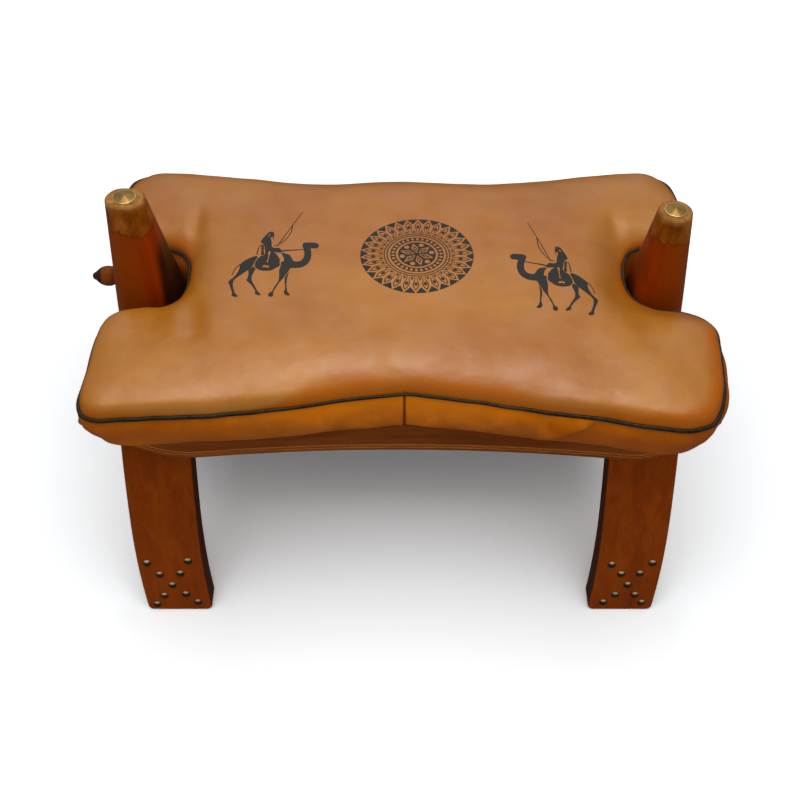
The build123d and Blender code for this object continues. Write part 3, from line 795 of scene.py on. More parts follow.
def rosette_spoke(angle, petal):
    """What repeats round the rosette: a tooth, an arrow, a bead, a petal, two leaves
    and a bar."""
    r = rosette_r
    tooth = np.vstack([
        arc(r, np.linspace(-tooth_half_angle, tooth_half_angle, 6)), [(tooth_tip_share * r, 0)]])
    foot_x = arrow_foot_share * r
    arrow = [(foot_x, -arrow_half), (arrow_tip_share * r, 0), (foot_x, arrow_half)]
    bead_middle = turned([(bead_share * r, 0)], angle)[0]
    start, widest, end = (share * r for share in petal_shares)
    shapes = [[turned(tooth, angle)], [turned(arrow, angle)]]
    shapes.append([circle(radius, bead_points) + bead_middle for radius in bead_radii])
    shapes.append([turned(lozenge(start, widest, end, petal_half), petal)])
    for side in (-1, 1):
        tip = arc(leaf_tip_share * r, [0])[0]
        shoulder = arc(leaf_shoulder_share * r, [side * leaf_shoulder_angle])[0]
        foot = arc(arrow_foot_share * r, [side * leaf_foot_angle])[0]
        bowed = (tip + shoulder) / 2 + (leaf_bow[0], leaf_bow[1] * side)
        upper = stroke([tip, bowed, shoulder], leaf_lines[:3])
        lower = stroke([shoulder, (shoulder + foot) / 2, foot], leaf_lines[2:])
        shapes += [[turned(upper, petal)], [turned(lower, petal)]]
    half = np.array(bar_half) * (r, 1)
    bar = np.vstack([half, (half * (1, -1))[::-1]])
    return shapes + [[turned(bar, angle)]]


def rosette_shapes():
    """The round print in the middle of the cushion: a thirty-fold rosette."""
    r = rosette_r
    pitch = 360 / rosette_count
    shapes = [circle_line(share * r, width) for share, width in ring_shares_and_widths]
    for number in range(rosette_count):
        angle = rim_angle + pitch * number
        shapes += rosette_spoke(angle, angle + pitch / 2)
    disc = [circle(disc_share * r)]
    for number in range(star_count):
        arm = star_angle + 360 / star_count * number
        disc.append(turned(lozenge(star_foot, star_widest, star_tip_share * r, star_half), arm))
        disc += [turned(lozenge(*places), arm) for places in star_lozenges]
        dot = circle(star_dot_r, star_dot_points, (star_dot_place, 0))
        disc.append(turned(dot, arm - 180 / star_count))
    shapes += [disc, [circle(radius, count) for radius, count in eye_radii_and_points]]
    return [[loop + np.array(rosette_middle) for loop in shape] for shape in shapes]


# The left picture: a camel with a hooded rider, one outline for each dark area
camel_rump = [
    (-140.3, 6.7), (-145.1, 5.8), (-150.5, 2.5), (-155.1, -2.1), (-156.3, -5.3), (-155.9, -8.9),
    (-156.5, -12.5), (-158.3, -18), (-160.8, -22.5), (-163.7, -25.8), (-164.9, -28.2), (-164, -31.2),
    (-162.4, -36.2), (-160.4, -42.5), (-159.6, -46), (-159.8, -48.9), (-157.8, -50.5), (-154.9, -51.4),
    (-153.6, -50.6), (-155.3, -47.8), (-156.9, -45.6), (-158, -42), (-159.4, -37.1), (-160.3, -31.6),
    (-160.1, -27.4), (-157.2, -23), (-153.3, -18.9), (-147.8, -13.5), (-144.6, -9.8), (-142.8, -6.2),
    (-141.9, -2.5), (-140.6, 2), (-139.5, 5.4),
]
camel_hind_leg = [
    (-144.6, -10.7), (-146.5, -11.6), (-146.7, -16.2), (-146.2, -20.7), (-146.6, -24.8), (-147.5, -27.5),
    (-146.5, -29.6), (-143.3, -33.5), (-139.8, -39.6), (-137.6, -44.2), (-137.8, -46.9), (-136, -48.9),
    (-133.3, -50.1), (-132, -49.4), (-133.7, -46.6), (-136, -43), (-137.8, -38.7), (-140.3, -33.3),
    (-142.3, -28.5), (-142.8, -24.4), (-142.2, -19.8), (-141, -15.3), (-140.1, -12.5), (-141.5, -9.8),
    (-142.8, -8.4),
]
camel_body = [
    (-131, 42.4), (-128.7, 43), (-126.5, 42.4), (-125.9, 39.6), (-125.4, 37.5), (-125.9, 35.2),
    (-127.1, 34.4), (-128.7, 34.7), (-128.2, 31), (-127.4, 27.4), (-126.9, 22.9), (-126.4, 19.4),
    (-124.6, 17.8), (-121.5, 17.5), (-118.8, 17), (-117.4, 14.9), (-116.2, 12.7), (-116.6, 10.6),
    (-120.5, 10.7), (-124.2, 11.6), (-121.6, 8.8), (-119.3, 4.7), (-117.3, 0.4), (-117.3, -4),
    (-116.6, -7.5), (-117.9, -9.8), (-120.5, -11.8), (-123.3, -14.4), (-127.8, -15.6), (-134.2, -14.8),
    (-138.7, -12.1), (-141, -8.9), (-141.4, -5.3), (-140.5, -0.7), (-138.6, 3.6), (-136, 6.4),
    (-134.4, 6.8), (-132.9, 8.5), (-133.2, 15.6), (-133.7, 19.3), (-134.7, 22.9), (-136.2, 25.6),
    (-138.2, 27.3), (-137.7, 30.2), (-136, 33.8), (-134.2, 37.5), (-132.2, 40.9),
]
camel_saddle_slit = [
    (-128.9, 12.6), (-127.6, 12.9), (-128.0, 7), (-128.6, 0), (-128.9, -3.6), (-129.6, -3.6), (-129.4, 0),
    (-129.0, 7),
]
camel_saddle_gap = [
    (-133, -10.6), (-133.2, -8.2), (-131.2, -7), (-129.6, -8), (-127.6, -8.6), (-127.2, -11),
    (-129.6, -10.7), (-131.2, -9.9),
]
rider_hood_gap = [(-132, 36.2), (-131.4, 38), (-129.8, 38.8), (-129.9, 37.2), (-130.9, 36.4)]
rider_sash = [
    (-136.6, 23.6), (-135.6, 23.4), (-134.4, 18.8), (-134.1, 13), (-133.5, 8.2), (-135.9, 7.4),
    (-136.4, 13), (-136.8, 18.4),
]
camel_front = [
    (-116.4, 9.8), (-112.4, 8.8), (-108.7, 7), (-106.5, 3.8), (-104.9, 0.2), (-103.1, -2.3), (-99.6, -2.5),
    (-96.5, -0.9), (-94.6, 2), (-93.9, 5.6), (-93.9, 10.2), (-94.6, 13.8), (-95.4, 17), (-96.2, 20.2),
    (-96.1, 23.6), (-94.2, 24.9), (-88.7, 25.2), (-83.3, 24.7), (-80.6, 22.5), (-80.2, 19.7),
    (-81.4, 17.4), (-83.7, 16.5), (-86.1, 16.8), (-88, 15.8), (-87.5, 12.9), (-86.9, 8.4), (-86.9, 3.8),
    (-88, -1.6), (-90.1, -6.2), (-93.3, -9.4), (-96.9, -11.2), (-101.5, -11.8), (-106, -12.1),
    (-107.6, -15.7), (-109.4, -19.8), (-111.5, -24.8), (-113.3, -28.3), (-115.4, -31.8), (-116.8, -35.3),
    (-118.6, -40.3), (-120.3, -45.1), (-120.1, -48), (-120.6, -51.5), (-124, -51.6), (-125, -48.9),
    (-124, -46.4), (-122.2, -45.2), (-120.4, -39.8), (-118.6, -35.3), (-116.9, -31.2), (-116.3, -27.1),
    (-116.5, -20.7), (-116.8, -15.7), (-116.2, -10.7), (-115.7, -7.1), (-116, -4.8), (-115.3, -2.9),
    (-113.2, -2), (-113.4, 1.1), (-114.3, 4.7), (-115.6, 7.5),
]
camel_far_leg = [
    (-107.5, -16.8), (-107.8, -20.7), (-108.5, -27.1), (-108.3, -35.3), (-107.6, -41.6), (-106.4, -46.2),
    (-104.6, -48.9), (-104.5, -50.4), (-107.8, -50.3), (-110, -47.5), (-110.3, -45.1), (-109.5, -42.6),
    (-109.8, -36.2), (-110.6, -29.8), (-110.4, -24.4), (-109.0, -20.7),
]

# Thin lines of the left picture: points, width at the start and width at the end
camel_lines = [
    ([(-155.8, -3.3), (-158.4, -6), (-160.3, -9.6), (-161.5, -13.5), (-162.4, -18.6)], 1.2, 0.9),
    ([(-138, 23.2), (-139.6, 18.4), (-140.1, 12.9), (-140.7, 9)], 0.8, 1.3),
    ([(-125.6, 35), (-125.9, 32.6), (-126.4, 30.2)], 0.7, 0.6),
    ([(-120.4, 21.6), (-110, 47.6), (-98.9, 75.2)], 1.1, 0.6),
    ([(-124.6, 21.2), (-119.4, 21.2)], 0.8, 1.2),
    ([(-107.9, 52), (-108.9, 41.1), (-111.5, 33.8), (-115.1, 27.5), (-118.2, 23.6)], 1.0, 1.0),
    ([(-116.8, 12.2), (-111.5, 13.3), (-103.3, 13.8), (-94.2, 14.7)], 2.2, 0.9),
]
# Where the right picture's X and Y lie: start, share of the left one's X and of its Y
across_x = (28.6, -0.973, 0.050)
across_y = (-6.2, 0.117, 0.996)


def camel_shapes():
    """Dark areas of the left picture."""
    solid = [[outline] for outline in (camel_rump, camel_hind_leg, rider_sash, camel_front, camel_far_leg)]
    holed = [camel_body, camel_saddle_slit, camel_saddle_gap, rider_hood_gap]
    shapes = [[closed_curve(outline, print_fine) for outline in shape] for shape in solid + [holed]]
    return shapes + [drawn_line(*line) for line in camel_lines]


def moved_across(loop):
    """A loop mirrored and leaning with the cushion's other half."""
    x, y = loop[:, 0], loop[:, 1]
    both = [start + share_x * x + share_y * y for start, share_x, share_y in (across_x, across_y)]
    return np.column_stack(both)[::-1]


def printed(name, shapes, surface, material):
    """A thin print that lies on the crown."""
    points, faces = [], []
    for shape in shapes:
        plan, triangles = filled(shape, print_step)
        first = len(points)
        for x, y in plan:
            start = Vector(to_frame((x, y, above_crown)))
            spot, normal, _, _ = surface.ray_cast(start, Vector((0, 0, -1)))
            points.append(spot + normal * print_height * mm)
        faces += [tuple(first + k for k in face) for face in triangles]
    piece = make_mesh(name, points, faces, [material])
    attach(piece, "cushion")


# Piping cord

piping_sides = 14
piping_r_waist = 1.55
piping_r_lobe = 2.05
piping_lobe_x = (60, 170)


def piping_tube():
    """The piping cord as a closed tube along the columns."""
    along = np.roll(columns, -1, axis=0) - np.roll(columns, 1, axis=0)
    along /= np.linalg.norm(along, axis=1)[:, None]
    inwards = np.column_stack([normals, np.zeros(len(columns))])
    up = np.cross(along, inwards)
    up /= np.linalg.norm(up, axis=1)[:, None]
    share = smooth_share(np.abs(columns[:, 0]), *piping_lobe_x) * (1 - notch_softness(columns))
    radius = piping_r_waist + (piping_r_lobe - piping_r_waist) * share[:, None]
    points = []
    for side in range(piping_sides):
        angle = 2 * math.pi * side / piping_sides
        points.append(columns + radius * (math.cos(angle) * inwards + math.sin(angle) * up))
    points = np.stack(points, axis=1).reshape(-1, 3)
    faces = []
    for k in range(len(columns)):
        here = k * piping_sides
        after = (k + 1) % len(columns) * piping_sides
        for side in range(piping_sides):
            beside = (side + 1) % piping_sides
            faces.append((here + side, after + side, after + beside, here + beside))
    return points, faces


# Colours of the materials: tones go from dark to light

leather_tones = ((0.345, 0.102, 0.0030), (0.392, 0.132, 0.006), (0.455, 0.170, 0.013))
# Deeper, redder colour near the crown's piping: partly dye, partly painted shade of the steep roll
leather_dye_and_painted_shade = (0.42, 0.100, 0.0006)
side_tones = ((0.28, 0.056, 0.0010), (0.36, 0.081, 0.0016), (0.43, 0.108, 0.0040))
# Brighter orange on the upper sewn side: painted light
side_painted_light_colour = (0.74, 0.200, 0.0006)
side_tint = (1.0, 0.62, 0.3)
underside_tones = ((0.20, 0.07, 0.01), (0.30, 0.12, 0.03), (0.38, 0.17, 0.05))
scuff_colour = (0.16, 0.05, 0.006)
stitch_colour = (0.085, 0.014, 0.001)
piping_tones = ((0.010, 0.007, 0.004), (0.034, 0.025, 0.015))
piping_tint = (1.0, 0.82, 0.6)
ink_tones = ((0.008, 0.008, 0.007), (0.026, 0.022, 0.016))
leg_tones = ((0.160, 0.023, 0.0004), (0.230, 0.038, 0.0006), (0.30, 0.057, 0.0012))
board_tones = ((0.125, 0.027, 0.004), (0.205, 0.050, 0.007), (0.30, 0.083, 0.014))
rail_tones = ((0.10, 0.030, 0.006), (0.17, 0.055, 0.012), (0.24, 0.085, 0.022))
peg_tones = ((0.05, 0.015, 0.004), (0.10, 0.035, 0.010), (0.17, 0.06, 0.02))
post_tones = ((0.185, 0.018, 0.0004), (0.265, 0.028, 0.0006), (0.335, 0.043, 0.0010))
varnish_tint = (1.0, 0.55, 0.3)
# Painted shade on the legs' faces turned sideways
leg_painted_side_shade = (0.016, 0.004, 0.001)
worn_wood = (0.42, 0.20, 0.055)
# Rubbed bead edges with a painted highlight
worn_bead_and_painted_highlight = (0.82, 0.27, 0.055)
knob_tip = (0.02, 0.010, 0.007)
post_outer = (0.215, 0.048, 0.0010)
# Painted shade on the posts' sides towards the cushion
post_painted_shade = (0.010, 0.005, 0.002)
post_lip = (0.06, 0.012, 0.0008)
bare_tones = ((0.130, 0.027, 0.0010), (0.200, 0.047, 0.0018), (0.255, 0.070, 0.004), (0.33, 0.112, 0.015))
rim_tones = ((0.20, 0.076, 0.012), (0.36, 0.165, 0.038), (0.50, 0.260, 0.070))
disc_tones = ((0.145, 0.086, 0.023), (0.27, 0.158, 0.042))
disc_rim = (0.52, 0.37, 0.16)
nail_tones = ((0.085, 0.055, 0.024), (0.20, 0.14, 0.065))
# Rubbed tops of the nails with a painted highlight
nail_top_rubbed_and_painted_highlight = (0.86, 0.70, 0.42)

# Places on the object that a finish or painted shade follows, in metres
stitch_half = (0.0013, 0.0005)
knob_tip_x = (0.3165, 0.3205)
post_outer_x = (0.235, 0.268)
painted_shade_top = (-0.030, -0.065)
# Lower ends of the worn heads of the posts, and how far out the painted shade on their sides towards the
# cushion reaches
worn_band_z = {"left": 0.403, "right": 0.390}
painted_shade_reach_x = {"left": 0.232, "right": 0.231}


# Shader nodes: each helper adds to the tree that it is given or its first socket is in

def new_material(name):
    """A material with an empty principled shader, and its node tree."""
    material = bpy.data.materials.new(name)
    material.use_nodes = True
    tree = material.node_tree
    return material, tree, tree.nodes["Principled BSDF"]


def connect(target, inputs):
    """Set a node's inputs to values or link them to sockets."""
    for key, value in inputs.items():
        socket = target.inputs[key]
        if isinstance(value, bpy.types.NodeSocket):
            target.id_data.links.new(value, socket)
        else:
            socket.default_value = (*value, 1) if socket.type == "RGBA" else value


def node(tree, kind, output, inputs=None, **settings):
    """An output of a new node with these inputs and settings."""
    made = tree.nodes.new("ShaderNode" + kind)
    for key, value in settings.items():
        setattr(made, key, value)
    connect(made, inputs or {})
    return made.outputs[output]


def object_place(tree):
    return node(tree, "TexCoord", "Object")


def axis_of(vector, axis):
    return node(vector.id_data, "SeparateXYZ", axis, {0: vector})


def facing(tree, axis):
    """How far each face is turned to an axis, from -1 to 1."""
    return axis_of(node(tree, "TexCoord", "Normal"), axis)


def shifted(tree, seed, scale=(1, 1, 1)):
    """Object coordinates scaled by axis and moved by a seed."""
    return node(tree, "Mapping", "Vector", {
        "Vector": object_place(tree), "Scale": scale, "Location": (seed, 2 * seed, 3 * seed)})


def noise(vector, scale, detail=4.0, rough=0.55, distortion=0.0):
    return node(vector.id_data, "TexNoise", "Fac", {
        "Vector": vector, "Scale": scale, "Detail": detail, "Roughness": rough, "Distortion": distortion})


def ramp(value, places, colours):
    """A colour ramp with a colour at each place."""
    ramped = node(value.id_data, "ValToRGB", "Color", {"Fac": value})
    elements = ramped.node.color_ramp.elements
    while len(elements) < len(places):
        elements.new(0.5)
    for element, place, colour in zip(elements, places, colours):
        element.position = place
        element.color = (*colour, 1)
    return ramped


def remap(value, low, high, to_low=0.0, to_high=1.0, **settings):
    return node(value.id_data, "MapRange", "Result", {
        "Value": value, "From Min": low, "From Max": high, "To Min": to_low, "To Max": to_high}, **settings)


def soft_step(value, low, high):
    """0 at low, 1 at high, smooth between."""
    return remap(value, low, high, interpolation_type="SMOOTHSTEP")


def spread(value, low, high):
    """A noise value, mostly 0.3 to 0.7, stretched to lie between low and high."""
    return remap(value, 0.3, 0.7, low, high)


def mix(share, a, b):
    """A colour that goes from a to b."""
    return node(share.id_data, "Mix", 2, {0: share, 6: a, 7: b}, data_type="RGBA")


def math_node(operation, a, b=0.0):
    return node(a.id_data, "Math", 0, {0: a, 1: b}, operation=operation)


def product(first, *others):
    for other in others:
        first = math_node("MULTIPLY", first, other)
    return first


def weighted(*parts):
    """The sum of values, each times its weight."""
    total = None
    for value, weight in parts:
        part = product(value, weight)
        total = math_node("ADD", total, part) if total else part
    return total


def vector_length(vector):
    return node(vector.id_data, "VectorMath", "Value", {0: vector}, operation="LENGTH")


def bevelled(tree, radius):
    """Normals that round the edges."""
    return node(tree, "Bevel", "Normal", {"Radius": radius}, samples=4)


def edge_wear(tree, radius):
    """1 on sharp edges, 0 on flat faces."""
    normals = {0: bevelled(tree, radius), 1: node(tree, "NewGeometry", "Normal")}
    return soft_step(node(tree, "VectorMath", "Value", normals, operation="DOT_PRODUCT"), 0.995, 0.90)


def bump(shader, height, strength, distance, **inputs):
    """Relief of a shader's surface."""
    inputs.update({"Height": height, "Strength": strength, "Distance": distance})
    connect(shader, {"Normal": node(shader.id_data, "Bump", "Normal", inputs)})


# Leather, piping and ink

def with_dye_and_painted_light(tree, colour, cloudy, blotches, dye_and_light_colour):
    """A colour mixed towards a second colour where the cover's values are high, and how much: deeper dye
    with painted shade near the crown's piping, painted light on the upper sewn side.
    """
    dye_and_painted_light = node(tree, "Attribute", "Fac", attribute_name="dye_and_painted_light")
    ragged = math_node("ADD", dye_and_painted_light, spread(blotches, -0.16, 0.16))
    patchy = product(soft_step(ragged, 0.12, 0.9), spread(cloudy, 0.75, 1.0))
    return mix(patchy, colour, dye_and_light_colour), patchy


def scuffed(place, colour):
    """A colour with small dark scuffs."""
    middles = node(place.id_data, "TexVoronoi", "Distance", {"Vector": place, "Scale": 21.0})
    chosen = soft_step(axis_of(middles.node.outputs["Color"], "X"), 0.80, 0.82)
    return mix(product(soft_step(middles, 0.05, 0.02), chosen, 0.6), colour, scuff_colour)


def stitched(tree, colour):
    """A colour with a dark stitch line in the middle of each long side."""
    aside = math_node("SUBTRACT", axis_of(object_place(tree), "X"), seam_x * mm + feet_x)
    line = soft_step(math_node("ABSOLUTE", aside), *stitch_half)
    return mix(product(line, 0.8), colour, stitch_colour)


def leather(name, tones, dye_and_light_colour=None, gloss=0.45, seamed=False):
    """Smooth finished cowhide: mottled dye, fine creases and pores, small scuffs and a
    soft gloss. A seamed piece has the stitch lines and a warmer shine."""
    material, tree, shader = new_material(name)
    place = shifted(tree, 3.1)
    cloudy = noise(place, 9.0, 3.0, 0.5, 0.4)
    blotches = noise(place, 34.0, 4.0, 0.55, 0.3)
    fine = noise(place, 60.0, 4.0, 0.6)
    colour = ramp(weighted((cloudy, 0.8), (fine, 0.2)), (0.3, 0.5, 0.72), tones)
    shine = spread(blotches, 0.75 * gloss, 1.25 * gloss)
    # The second colour is partly dye and partly painted light and shade
    if dye_and_light_colour:
        colour, patchy = with_dye_and_painted_light(tree, colour, cloudy, blotches, dye_and_light_colour)
    colour = scuffed(place, colour)
    if seamed:
        colour = stitched(tree, colour)
        connect(shader, {"Specular Tint": side_tint})
    elif dye_and_light_colour:
        shine = product(shine, remap(patchy, 0, 1, 1.0, 0.25))
    connect(shader, {
        "Base Color": colour, "Roughness": spread(fine, 0.35, 0.45), "Specular IOR Level": shine})
    cells = {"Vector": place, "Scale": 900.0}
    pores = node(tree, "TexVoronoi", "Distance", cells, feature="DISTANCE_TO_EDGE")
    creases = noise(place, 260.0, 5.0, 0.6)
    wrinkles = noise(place, 75.0, 3.0, 0.5, 1.5)
    grain = weighted((pores, 0.6), (creases, 1.0), (wrinkles, 1.6), (blotches, 16.0))
    bump(shader, grain, 0.14, 0.0004)
    return material


def piping_leather():
    """Nearly black piping, a little browner where it is worn."""
    material, tree, shader = new_material("piping_leather")
    place = shifted(tree, 5.0)
    fine = noise(place, 300.0, 3.0, 0.6)
    slow = noise(place, 30.0, 2.0, 0.5)
    connect(shader, {
        "Base Color": ramp(weighted((fine, 0.5), (slow, 0.5)), (0.38, 0.62), piping_tones),
        "Roughness": 0.42, "Specular IOR Level": 0.2, "Specular Tint": piping_tint})
    bump(shader, fine, 0.25, 0.0003)
    return material


def print_ink():
    """Matt dark ink, a little worn where the leather's grain shows."""
    material, tree, shader = new_material("print_ink")
    worn = noise(shifted(tree, 8.0), 700.0, 3.0, 0.6)
    connect(shader, {
        "Base Color": ramp(worn, (0.35, 0.75), ink_tones), "Roughness": 0.55, "Specular IOR Level": 0.22})
    bump(shader, worn, 0.1, 0.0003)
    return material


# Wood

def wood_grain(tree, along, tones, seed=0.0):
    """Colour of stained hardwood with its fibres along one axis, and the fibres."""
    place = shifted(tree, seed, [0.06 if axis == along else 1.0 for axis in "xyz"])
    bands = noise(place, 70.0, 4.0, 0.55, 0.8)
    fibres = noise(place, 480.0, 4.0, 0.7)
    slow = noise(shifted(tree, seed + 1), 10.0, 2.0, 0.5)
    return ramp(weighted((bands, 0.5), (fibres, 0.3), (slow, 0.2)), (0.32, 0.5, 0.70), tones), fibres


def finish_wood(shader, colour, fibres, gloss=0.34):
    """Varnish over a wood colour."""
    connect(shader, {
        "Base Color": colour, "Roughness": spread(fibres, gloss - 0.05, gloss + 0.09),
        "Specular IOR Level": 0.14, "Specular Tint": varnish_tint})
    bump(shader, fibres, 0.12, 0.0005)


def wood(name, along, tones, gloss=0.34, seed=0.0):
    """Plain stained hardwood."""
    material, tree, shader = new_material(name)
    finish_wood(shader, *wood_grain(tree, along, tones, seed), gloss)
    return material


def leg_wood():
    """The legs' stain, with painted shade on faces turned sideways, rubbed paler on the edges."""
    material, tree, shader = new_material("leg_wood")
    colour, fibres = wood_grain(tree, "z", leg_tones)
    # Painted shade: faces turned sideways are darkened
    sideways = soft_step(math_node("ABSOLUTE", facing(tree, "X")), 0.72, 0.92)
    colour = mix(product(sideways, 0.75), colour, leg_painted_side_shade)
    rubbed = product(edge_wear(tree, 0.0016), remap(fibres, 0.35, 0.65, 0.066, 0.22))
    finish_wood(shader, mix(rubbed, colour, worn_wood), fibres)
    return material


def board_wood():
    """The boards' red-brown stain: beads rubbed paler and brightened as a painted highlight, darker knob
    tips.
    """
    material, tree, shader = new_material("board_wood")
    colour, fibres = wood_grain(tree, "x", board_tones, 7.0)
    # Rubbed edges, made brighter than wear alone as a painted highlight on the beads
    rubbed = product(edge_wear(tree, 0.0024), remap(fibres, 0.35, 0.65, 0.6, 1.0))
    colour = mix(rubbed, colour, worn_bead_and_painted_highlight)
    tip = soft_step(math_node("ABSOLUTE", axis_of(object_place(tree), "X")), *knob_tip_x)
    colour = mix(product(tip, 0.85), colour, knob_tip)
    finish_wood(shader, colour, fibres, 0.36)
    return material


def post_wood(name, side, band_z, top_z, shade_reach_x):
    """A post's stain: worn to bare golden wood over its head down to an uneven line,
    with painted shade that makes the side towards the cushion nearly black."""
    material, tree, shader = new_material(name)
    colour, fibres = wood_grain(tree, "z", post_tones, 4.0 + side)
    place = object_place(tree)
    height = axis_of(place, "Z")
    outward = product(math_node("SUBTRACT", axis_of(place, "X"), feet_x), side)
    colour = mix(product(soft_step(outward, *post_outer_x), 0.6), colour, post_outer)
    # Painted shade: low on the side towards the cushion, and on faces turned to it
    turned_away = soft_step(outward, shade_reach_x + 0.004, shade_reach_x - 0.004)
    facing_cushion = product(soft_step(product(facing(tree, "X"), -side), 0.35, 0.8), 0.35)
    low_down = soft_step(height, *(top_z + down for down in painted_shade_top))
    painted_shade = product(math_node("MAXIMUM", turned_away, facing_cushion), low_down, 0.94)
    colour = mix(painted_shade, colour, post_painted_shade)
    ragged = noise(shifted(tree, 2.0 + side), 75.0, 3.0, 0.6)
    line = math_node("ADD", height, spread(ragged, -0.006, 0.006))
    lip = product(soft_step(line, band_z - 0.0040, band_z - 0.0010), 0.45)
    colour = mix(lip, colour, post_lip)
    patches = noise(shifted(tree, 6.0 + side, (1, 1, 0.45)), 90.0, 4.0, 0.6)
    bare = ramp(patches, (0.30, 0.46, 0.58, 0.74), bare_tones)
    colour = mix(soft_step(line, band_z - 0.0006, band_z + 0.0008), colour, bare)
    near_rim = soft_step(height, top_z - 0.008, top_z - 0.0005)
    top_grain = ramp(noise(shifted(tree, side), 160.0, 4.0, 0.65), (0.3, 0.5, 0.7), rim_tones)
    colour = mix(product(near_rim, spread(ragged, 0.45, 1.0)), colour, top_grain)
    colour = mix(product(edge_wear(tree, 0.0014), 0.5), colour, worn_wood)
    finish_wood(shader, colour, fibres)
    return material


# Brass

def disc_brass(name, disc):
    """Spun brass: fine rings, a wedge of light from the turning marks, a bright rim."""
    material, tree, shader = new_material(name)
    low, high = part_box(disc)
    middle = (low + high) / 2
    radius = (high.x - low.x) / 2
    reach = vector_length(node(tree, "Mapping", "Vector", {
        "Vector": object_place(tree), "Location": (-middle.x, -middle.y, 0), "Scale": (1, 1, 0)}))
    rings = noise(node(tree, "CombineXYZ", "Vector", {"X": reach}), 2600.0, 3.0, 0.6)
    tarnish = noise(shifted(tree, 1.7), 120.0, 3.0, 0.5)
    colour = ramp(weighted((rings, 0.45), (tarnish, 0.55)), (0.36, 0.62), disc_tones)
    rim = soft_step(reach, 0.92 * radius, 0.955 * radius)
    around = node(tree, "Tangent", "Tangent", direction_type="RADIAL", axis="Z")
    connect(shader, {
        "Base Color": mix(rim, colour, disc_rim), "Metallic": 1.0, "Roughness": 0.3,
        "Anisotropic": 0.85, "Anisotropic Rotation": 0.25, "Tangent": around})
    bump(shader, rings, 0.1, 0.0002, Normal=bevelled(tree, 0.0006))
    return material


def nail_brass():
    """Antique brass nails: dark in the hollows, rubbed bright on top of the domes, where a painted
    highlight is added too.
    """
    material, tree, shader = new_material("nail_brass")
    tarnish = noise(shifted(tree, 1.7), 500.0, 4.0, 0.6)
    colour = ramp(tarnish, (0.35, 0.65), nail_tones)
    # Tops facing up: rubbed brass and a painted highlight
    rubbed = product(soft_step(facing(tree, "Z"), 0.50, 0.78), spread(tarnish, 0.7, 1.0))
    connect(shader, {
        "Base Color": mix(rubbed, colour, nail_top_rubbed_and_painted_highlight), "Metallic": remap(rubbed, 0, 1, 1.0, 0.5),
        "Roughness": 0.3})
    bump(shader, tarnish, 0.15, 0.0003)
    return material


def dress(ending, material):
    """Give the CAD nodes with this name ending a material."""
    for name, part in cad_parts.items():
        if name.endswith(ending):
            part.data.materials.clear()
            part.data.materials.append(material)


def dress_cad():
    """Finish of the CAD nodes that stay."""
    dress("_leg", leg_wood())
    dress("_side_board", board_wood())
    dress("_seat_rail", wood("rail_wood", "x", rail_tones, 0.5, 9.0))
    dress("_pegs", wood("peg_wood", "y", peg_tones, 0.5, 2.0))
    dress("_nails", nail_brass())
    for side, name in ((-1, "left"), (1, "right")):
        top_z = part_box(name + "_post")[1].z
        head = post_wood(name + "_post_wood", side, worn_band_z[name], top_z, painted_shade_reach_x[name])
        dress(name + "_post", head)
        dress(name + "_post_disc", disc_brass(name + "_disc_brass", name + "_post_disc"))


# Stage: lengths in metres, greys as strengths of white light

floor_size = 30
floor_lit = (0.75, 0.75, 0.75)
floor_in_gloss = (0.15, 0.15, 0.15)
paper_near = (1.56, 1.6, 1.62)
paper_far = (4.0, 4.0, 4.0)
# Painted shadow under the stool
paper_painted_shadow = (0.93, 0.99, 1.02)
softbox_size = (1.6, 0.75)
softboxes = {
    "overhead": ((0, 0.12, 1.8), (0, 0.12, 0), 7.9),
    "front": ((0, -0.63, 1.8), (0, -0.5, 0), 8.2),
}
glint_power = 0.12
glint_angle = 0.12
glint_from = (0, 0.3, 0.95)


def make_floor():
    """Pale paper, whiter far away, with a painted shadow under the stool behind the legs."""
    bpy.ops.mesh.primitive_plane_add(size=floor_size, location=(0, 0, 0))
    floor = bpy.context.object
    floor.name = "floor"
    material, tree, _ = new_material("floor_paper")
    place = object_place(tree)
    paper = mix(soft_step(vector_length(place), 0.45, 1.5), paper_near, paper_far)
    beside = math_node("ABSOLUTE", axis_of(place, "X"))
    back = axis_of(place, "Y")
    # Painted shadow: darker paper under the stool
    under = product(
        soft_step(back, -0.05, 0.07), soft_step(back, 0.24, 0.16), soft_step(beside, 0.30, 0.22))
    paper = mix(under, paper, paper_painted_shadow)
    colour = mix(node(tree, "LightPath", "Is Glossy Ray"), floor_lit, floor_in_gloss)
    colour = mix(node(tree, "LightPath", "Is Camera Ray"), colour, paper)
    diffuse = node(tree, "BsdfDiffuse", 0, {"Color": colour})
    connect(tree.nodes["Material Output"], {"Surface": diffuse})
    floor.data.materials.append(material)


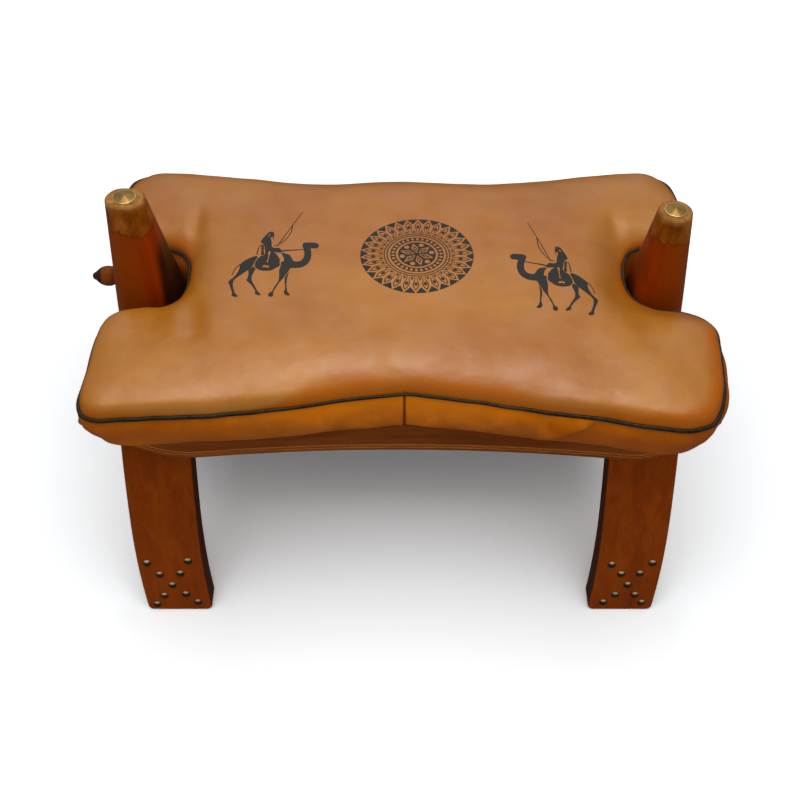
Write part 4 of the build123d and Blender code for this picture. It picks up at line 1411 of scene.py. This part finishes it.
def make_surround():
    """White to the camera, soft light from the front, and a lit band for the shine."""
    world = bpy.data.worlds.new("surround")
    bpy.context.scene.world = world
    world.use_nodes = True
    tree = world.node_tree
    heading = node(tree, "TexCoord", "Generated")
    sideways, back, up = (axis_of(heading, axis) for axis in "XYZ")
    soft = remap(soft_step(back, 0.2, -0.4), 0, 1, 0.13, 0.59)
    wide = soft_step(math_node("ABSOLUTE", sideways), 0.25, 0.65)
    lit = product(
        soft_step(up, -0.1, 0.7), soft_step(back, -0.45, -0.02), remap(wide, 0, 1, 1.0, 0.25))
    zenith = soft_step(up, 0.88, 0.97)
    shine = math_node("ADD", weighted((lit, 1.3), (product(zenith, lit), 1.9)), 0.15)
    glossy = node(tree, "LightPath", "Is Glossy Ray")
    strength = node(tree, "Mix", 0, {"Factor": glossy, "A": soft, "B": shine})
    strength = math_node("MAXIMUM", strength, node(tree, "LightPath", "Is Camera Ray"))
    connect(tree.nodes["Background"], {"Color": (1, 1, 1), "Strength": strength})


def make_lights():
    """Two softboxes, of which only the overhead one shows as a shine, and a glint."""
    for name, (place, aim, power) in softboxes.items():
        light = bpy.data.lights.new(name, "AREA")
        light.shape = "RECTANGLE"
        light.size, light.size_y = softbox_size
        light.energy = power
        turn = (Vector(aim) - Vector(place)).to_track_quat("-Z", "Y").to_euler()
        put(name, light, place, turn).visible_glossy = name == "overhead"
    glint = bpy.data.lights.new("glint", "SUN")
    glint.energy = glint_power
    glint.angle = glint_angle
    put("glint", glint, turn=Vector(glint_from).to_track_quat("Z", "Y").to_euler())


def make_camera():
    """The photograph's camera."""
    camera = bpy.data.cameras.new("camera")
    camera.sensor_fit = "HORIZONTAL"
    camera.lens = camera_lens
    turn = (math.radians(90 - camera_pitch), 0, 0)
    bpy.context.scene.camera = put("camera", camera, to_frame((0, camera_y, camera_z)), turn)
    bpy.context.scene.view_settings.view_transform = "Standard"


# The cushion's pieces

# Painted light on the upper sewn side: brighter and more orange, most at the waist
side_waist_x = (40, 230)
left_notch_painted_light = 0.2
# At the lobes, and how much the waist adds or takes away
side_painted_light_lobes = 0.3
side_painted_light_waist = 0.6
side_fade_lobes = 1.6
side_fade_waist = 0.9


def side_painted_light_values():
    """Painted light on the sewn side's rings, brightest just under the seam and fading downwards: strongest
    and longest at the waist, with some beside the rear-left post.
    """
    x, y = columns[:, 0], columns[:, 1]
    waist = 1 - smooth_share(np.abs(x - seam_x), *side_waist_x)
    left_notch = notch_softness(columns) * (x < 0) * (y > notch_y)
    waist = np.maximum(waist, left_notch_painted_light * left_notch)
    strength = side_painted_light_lobes + side_painted_light_waist * waist
    fade = side_fade_lobes - side_fade_waist * waist
    return [strength * (1 - share)**fade for share in side_shares]


def make_cover():
    """The leather cover, which stands for the five sewn nodes of the cushion."""
    points, faces, side_start, bottom_start, dye_and_painted_light = cushion_cover()
    tan = leather("tan_leather", leather_tones, leather_dye_and_painted_shade, 0.58)
    side = leather("side_leather", side_tones, side_painted_light_colour, 0.16, seamed=True)
    under = leather("underside_leather", underside_tones)
    face_materials = np.repeat(
        [0, 1, 2], [side_start, bottom_start - side_start, len(faces) - bottom_start])
    cover = make_mesh("cushion_cover", to_frame(points), faces, [tan, side, under], face_materials)
    # Per point: deeper dye and painted shade on the crown, painted light on the sewn side
    layer = cover.data.attributes.new("dye_and_painted_light", "FLOAT", "POINT")
    dye_and_painted_light_values = np.concatenate([dye_and_painted_light, *side_painted_light_values()])
    layer.data.foreach_set("value", np.pad(dye_and_painted_light_values, (0, len(points) - len(dye_and_painted_light_values))))
    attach(cover, "cushion")
    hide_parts("cushion_top_panel", "cushion_left_boxing", "cushion_right_boxing",
                "cushion_bottom_panel", "cushion_filling")
    return cover


def make_piping():
    """The cord in the top seam."""
    points, faces = piping_tube()
    piping = make_mesh("cushion_piping_cord", to_frame(points), faces, [piping_leather()])
    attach(piping, "cushion")
    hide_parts("cushion_piping")


def make_prints(cover):
    """The rosette and the two camels on the crown."""
    surface = BVHTree.FromPolygons(
        [tuple(v.co) for v in cover.data.vertices], [tuple(p.vertices) for p in cover.data.polygons])
    ink = print_ink()
    camel = camel_shapes()
    printed("rosette_print", rosette_shapes(), surface, ink)
    printed("left_camel_print", camel, surface, ink)
    printed("right_camel_print", [[moved_across(loop) for loop in shape] for shape in camel], surface, ink)


make_floor()
make_surround()
make_lights()
make_camera()
dress_cad()
cover = make_cover()
make_piping()
make_prints(cover)
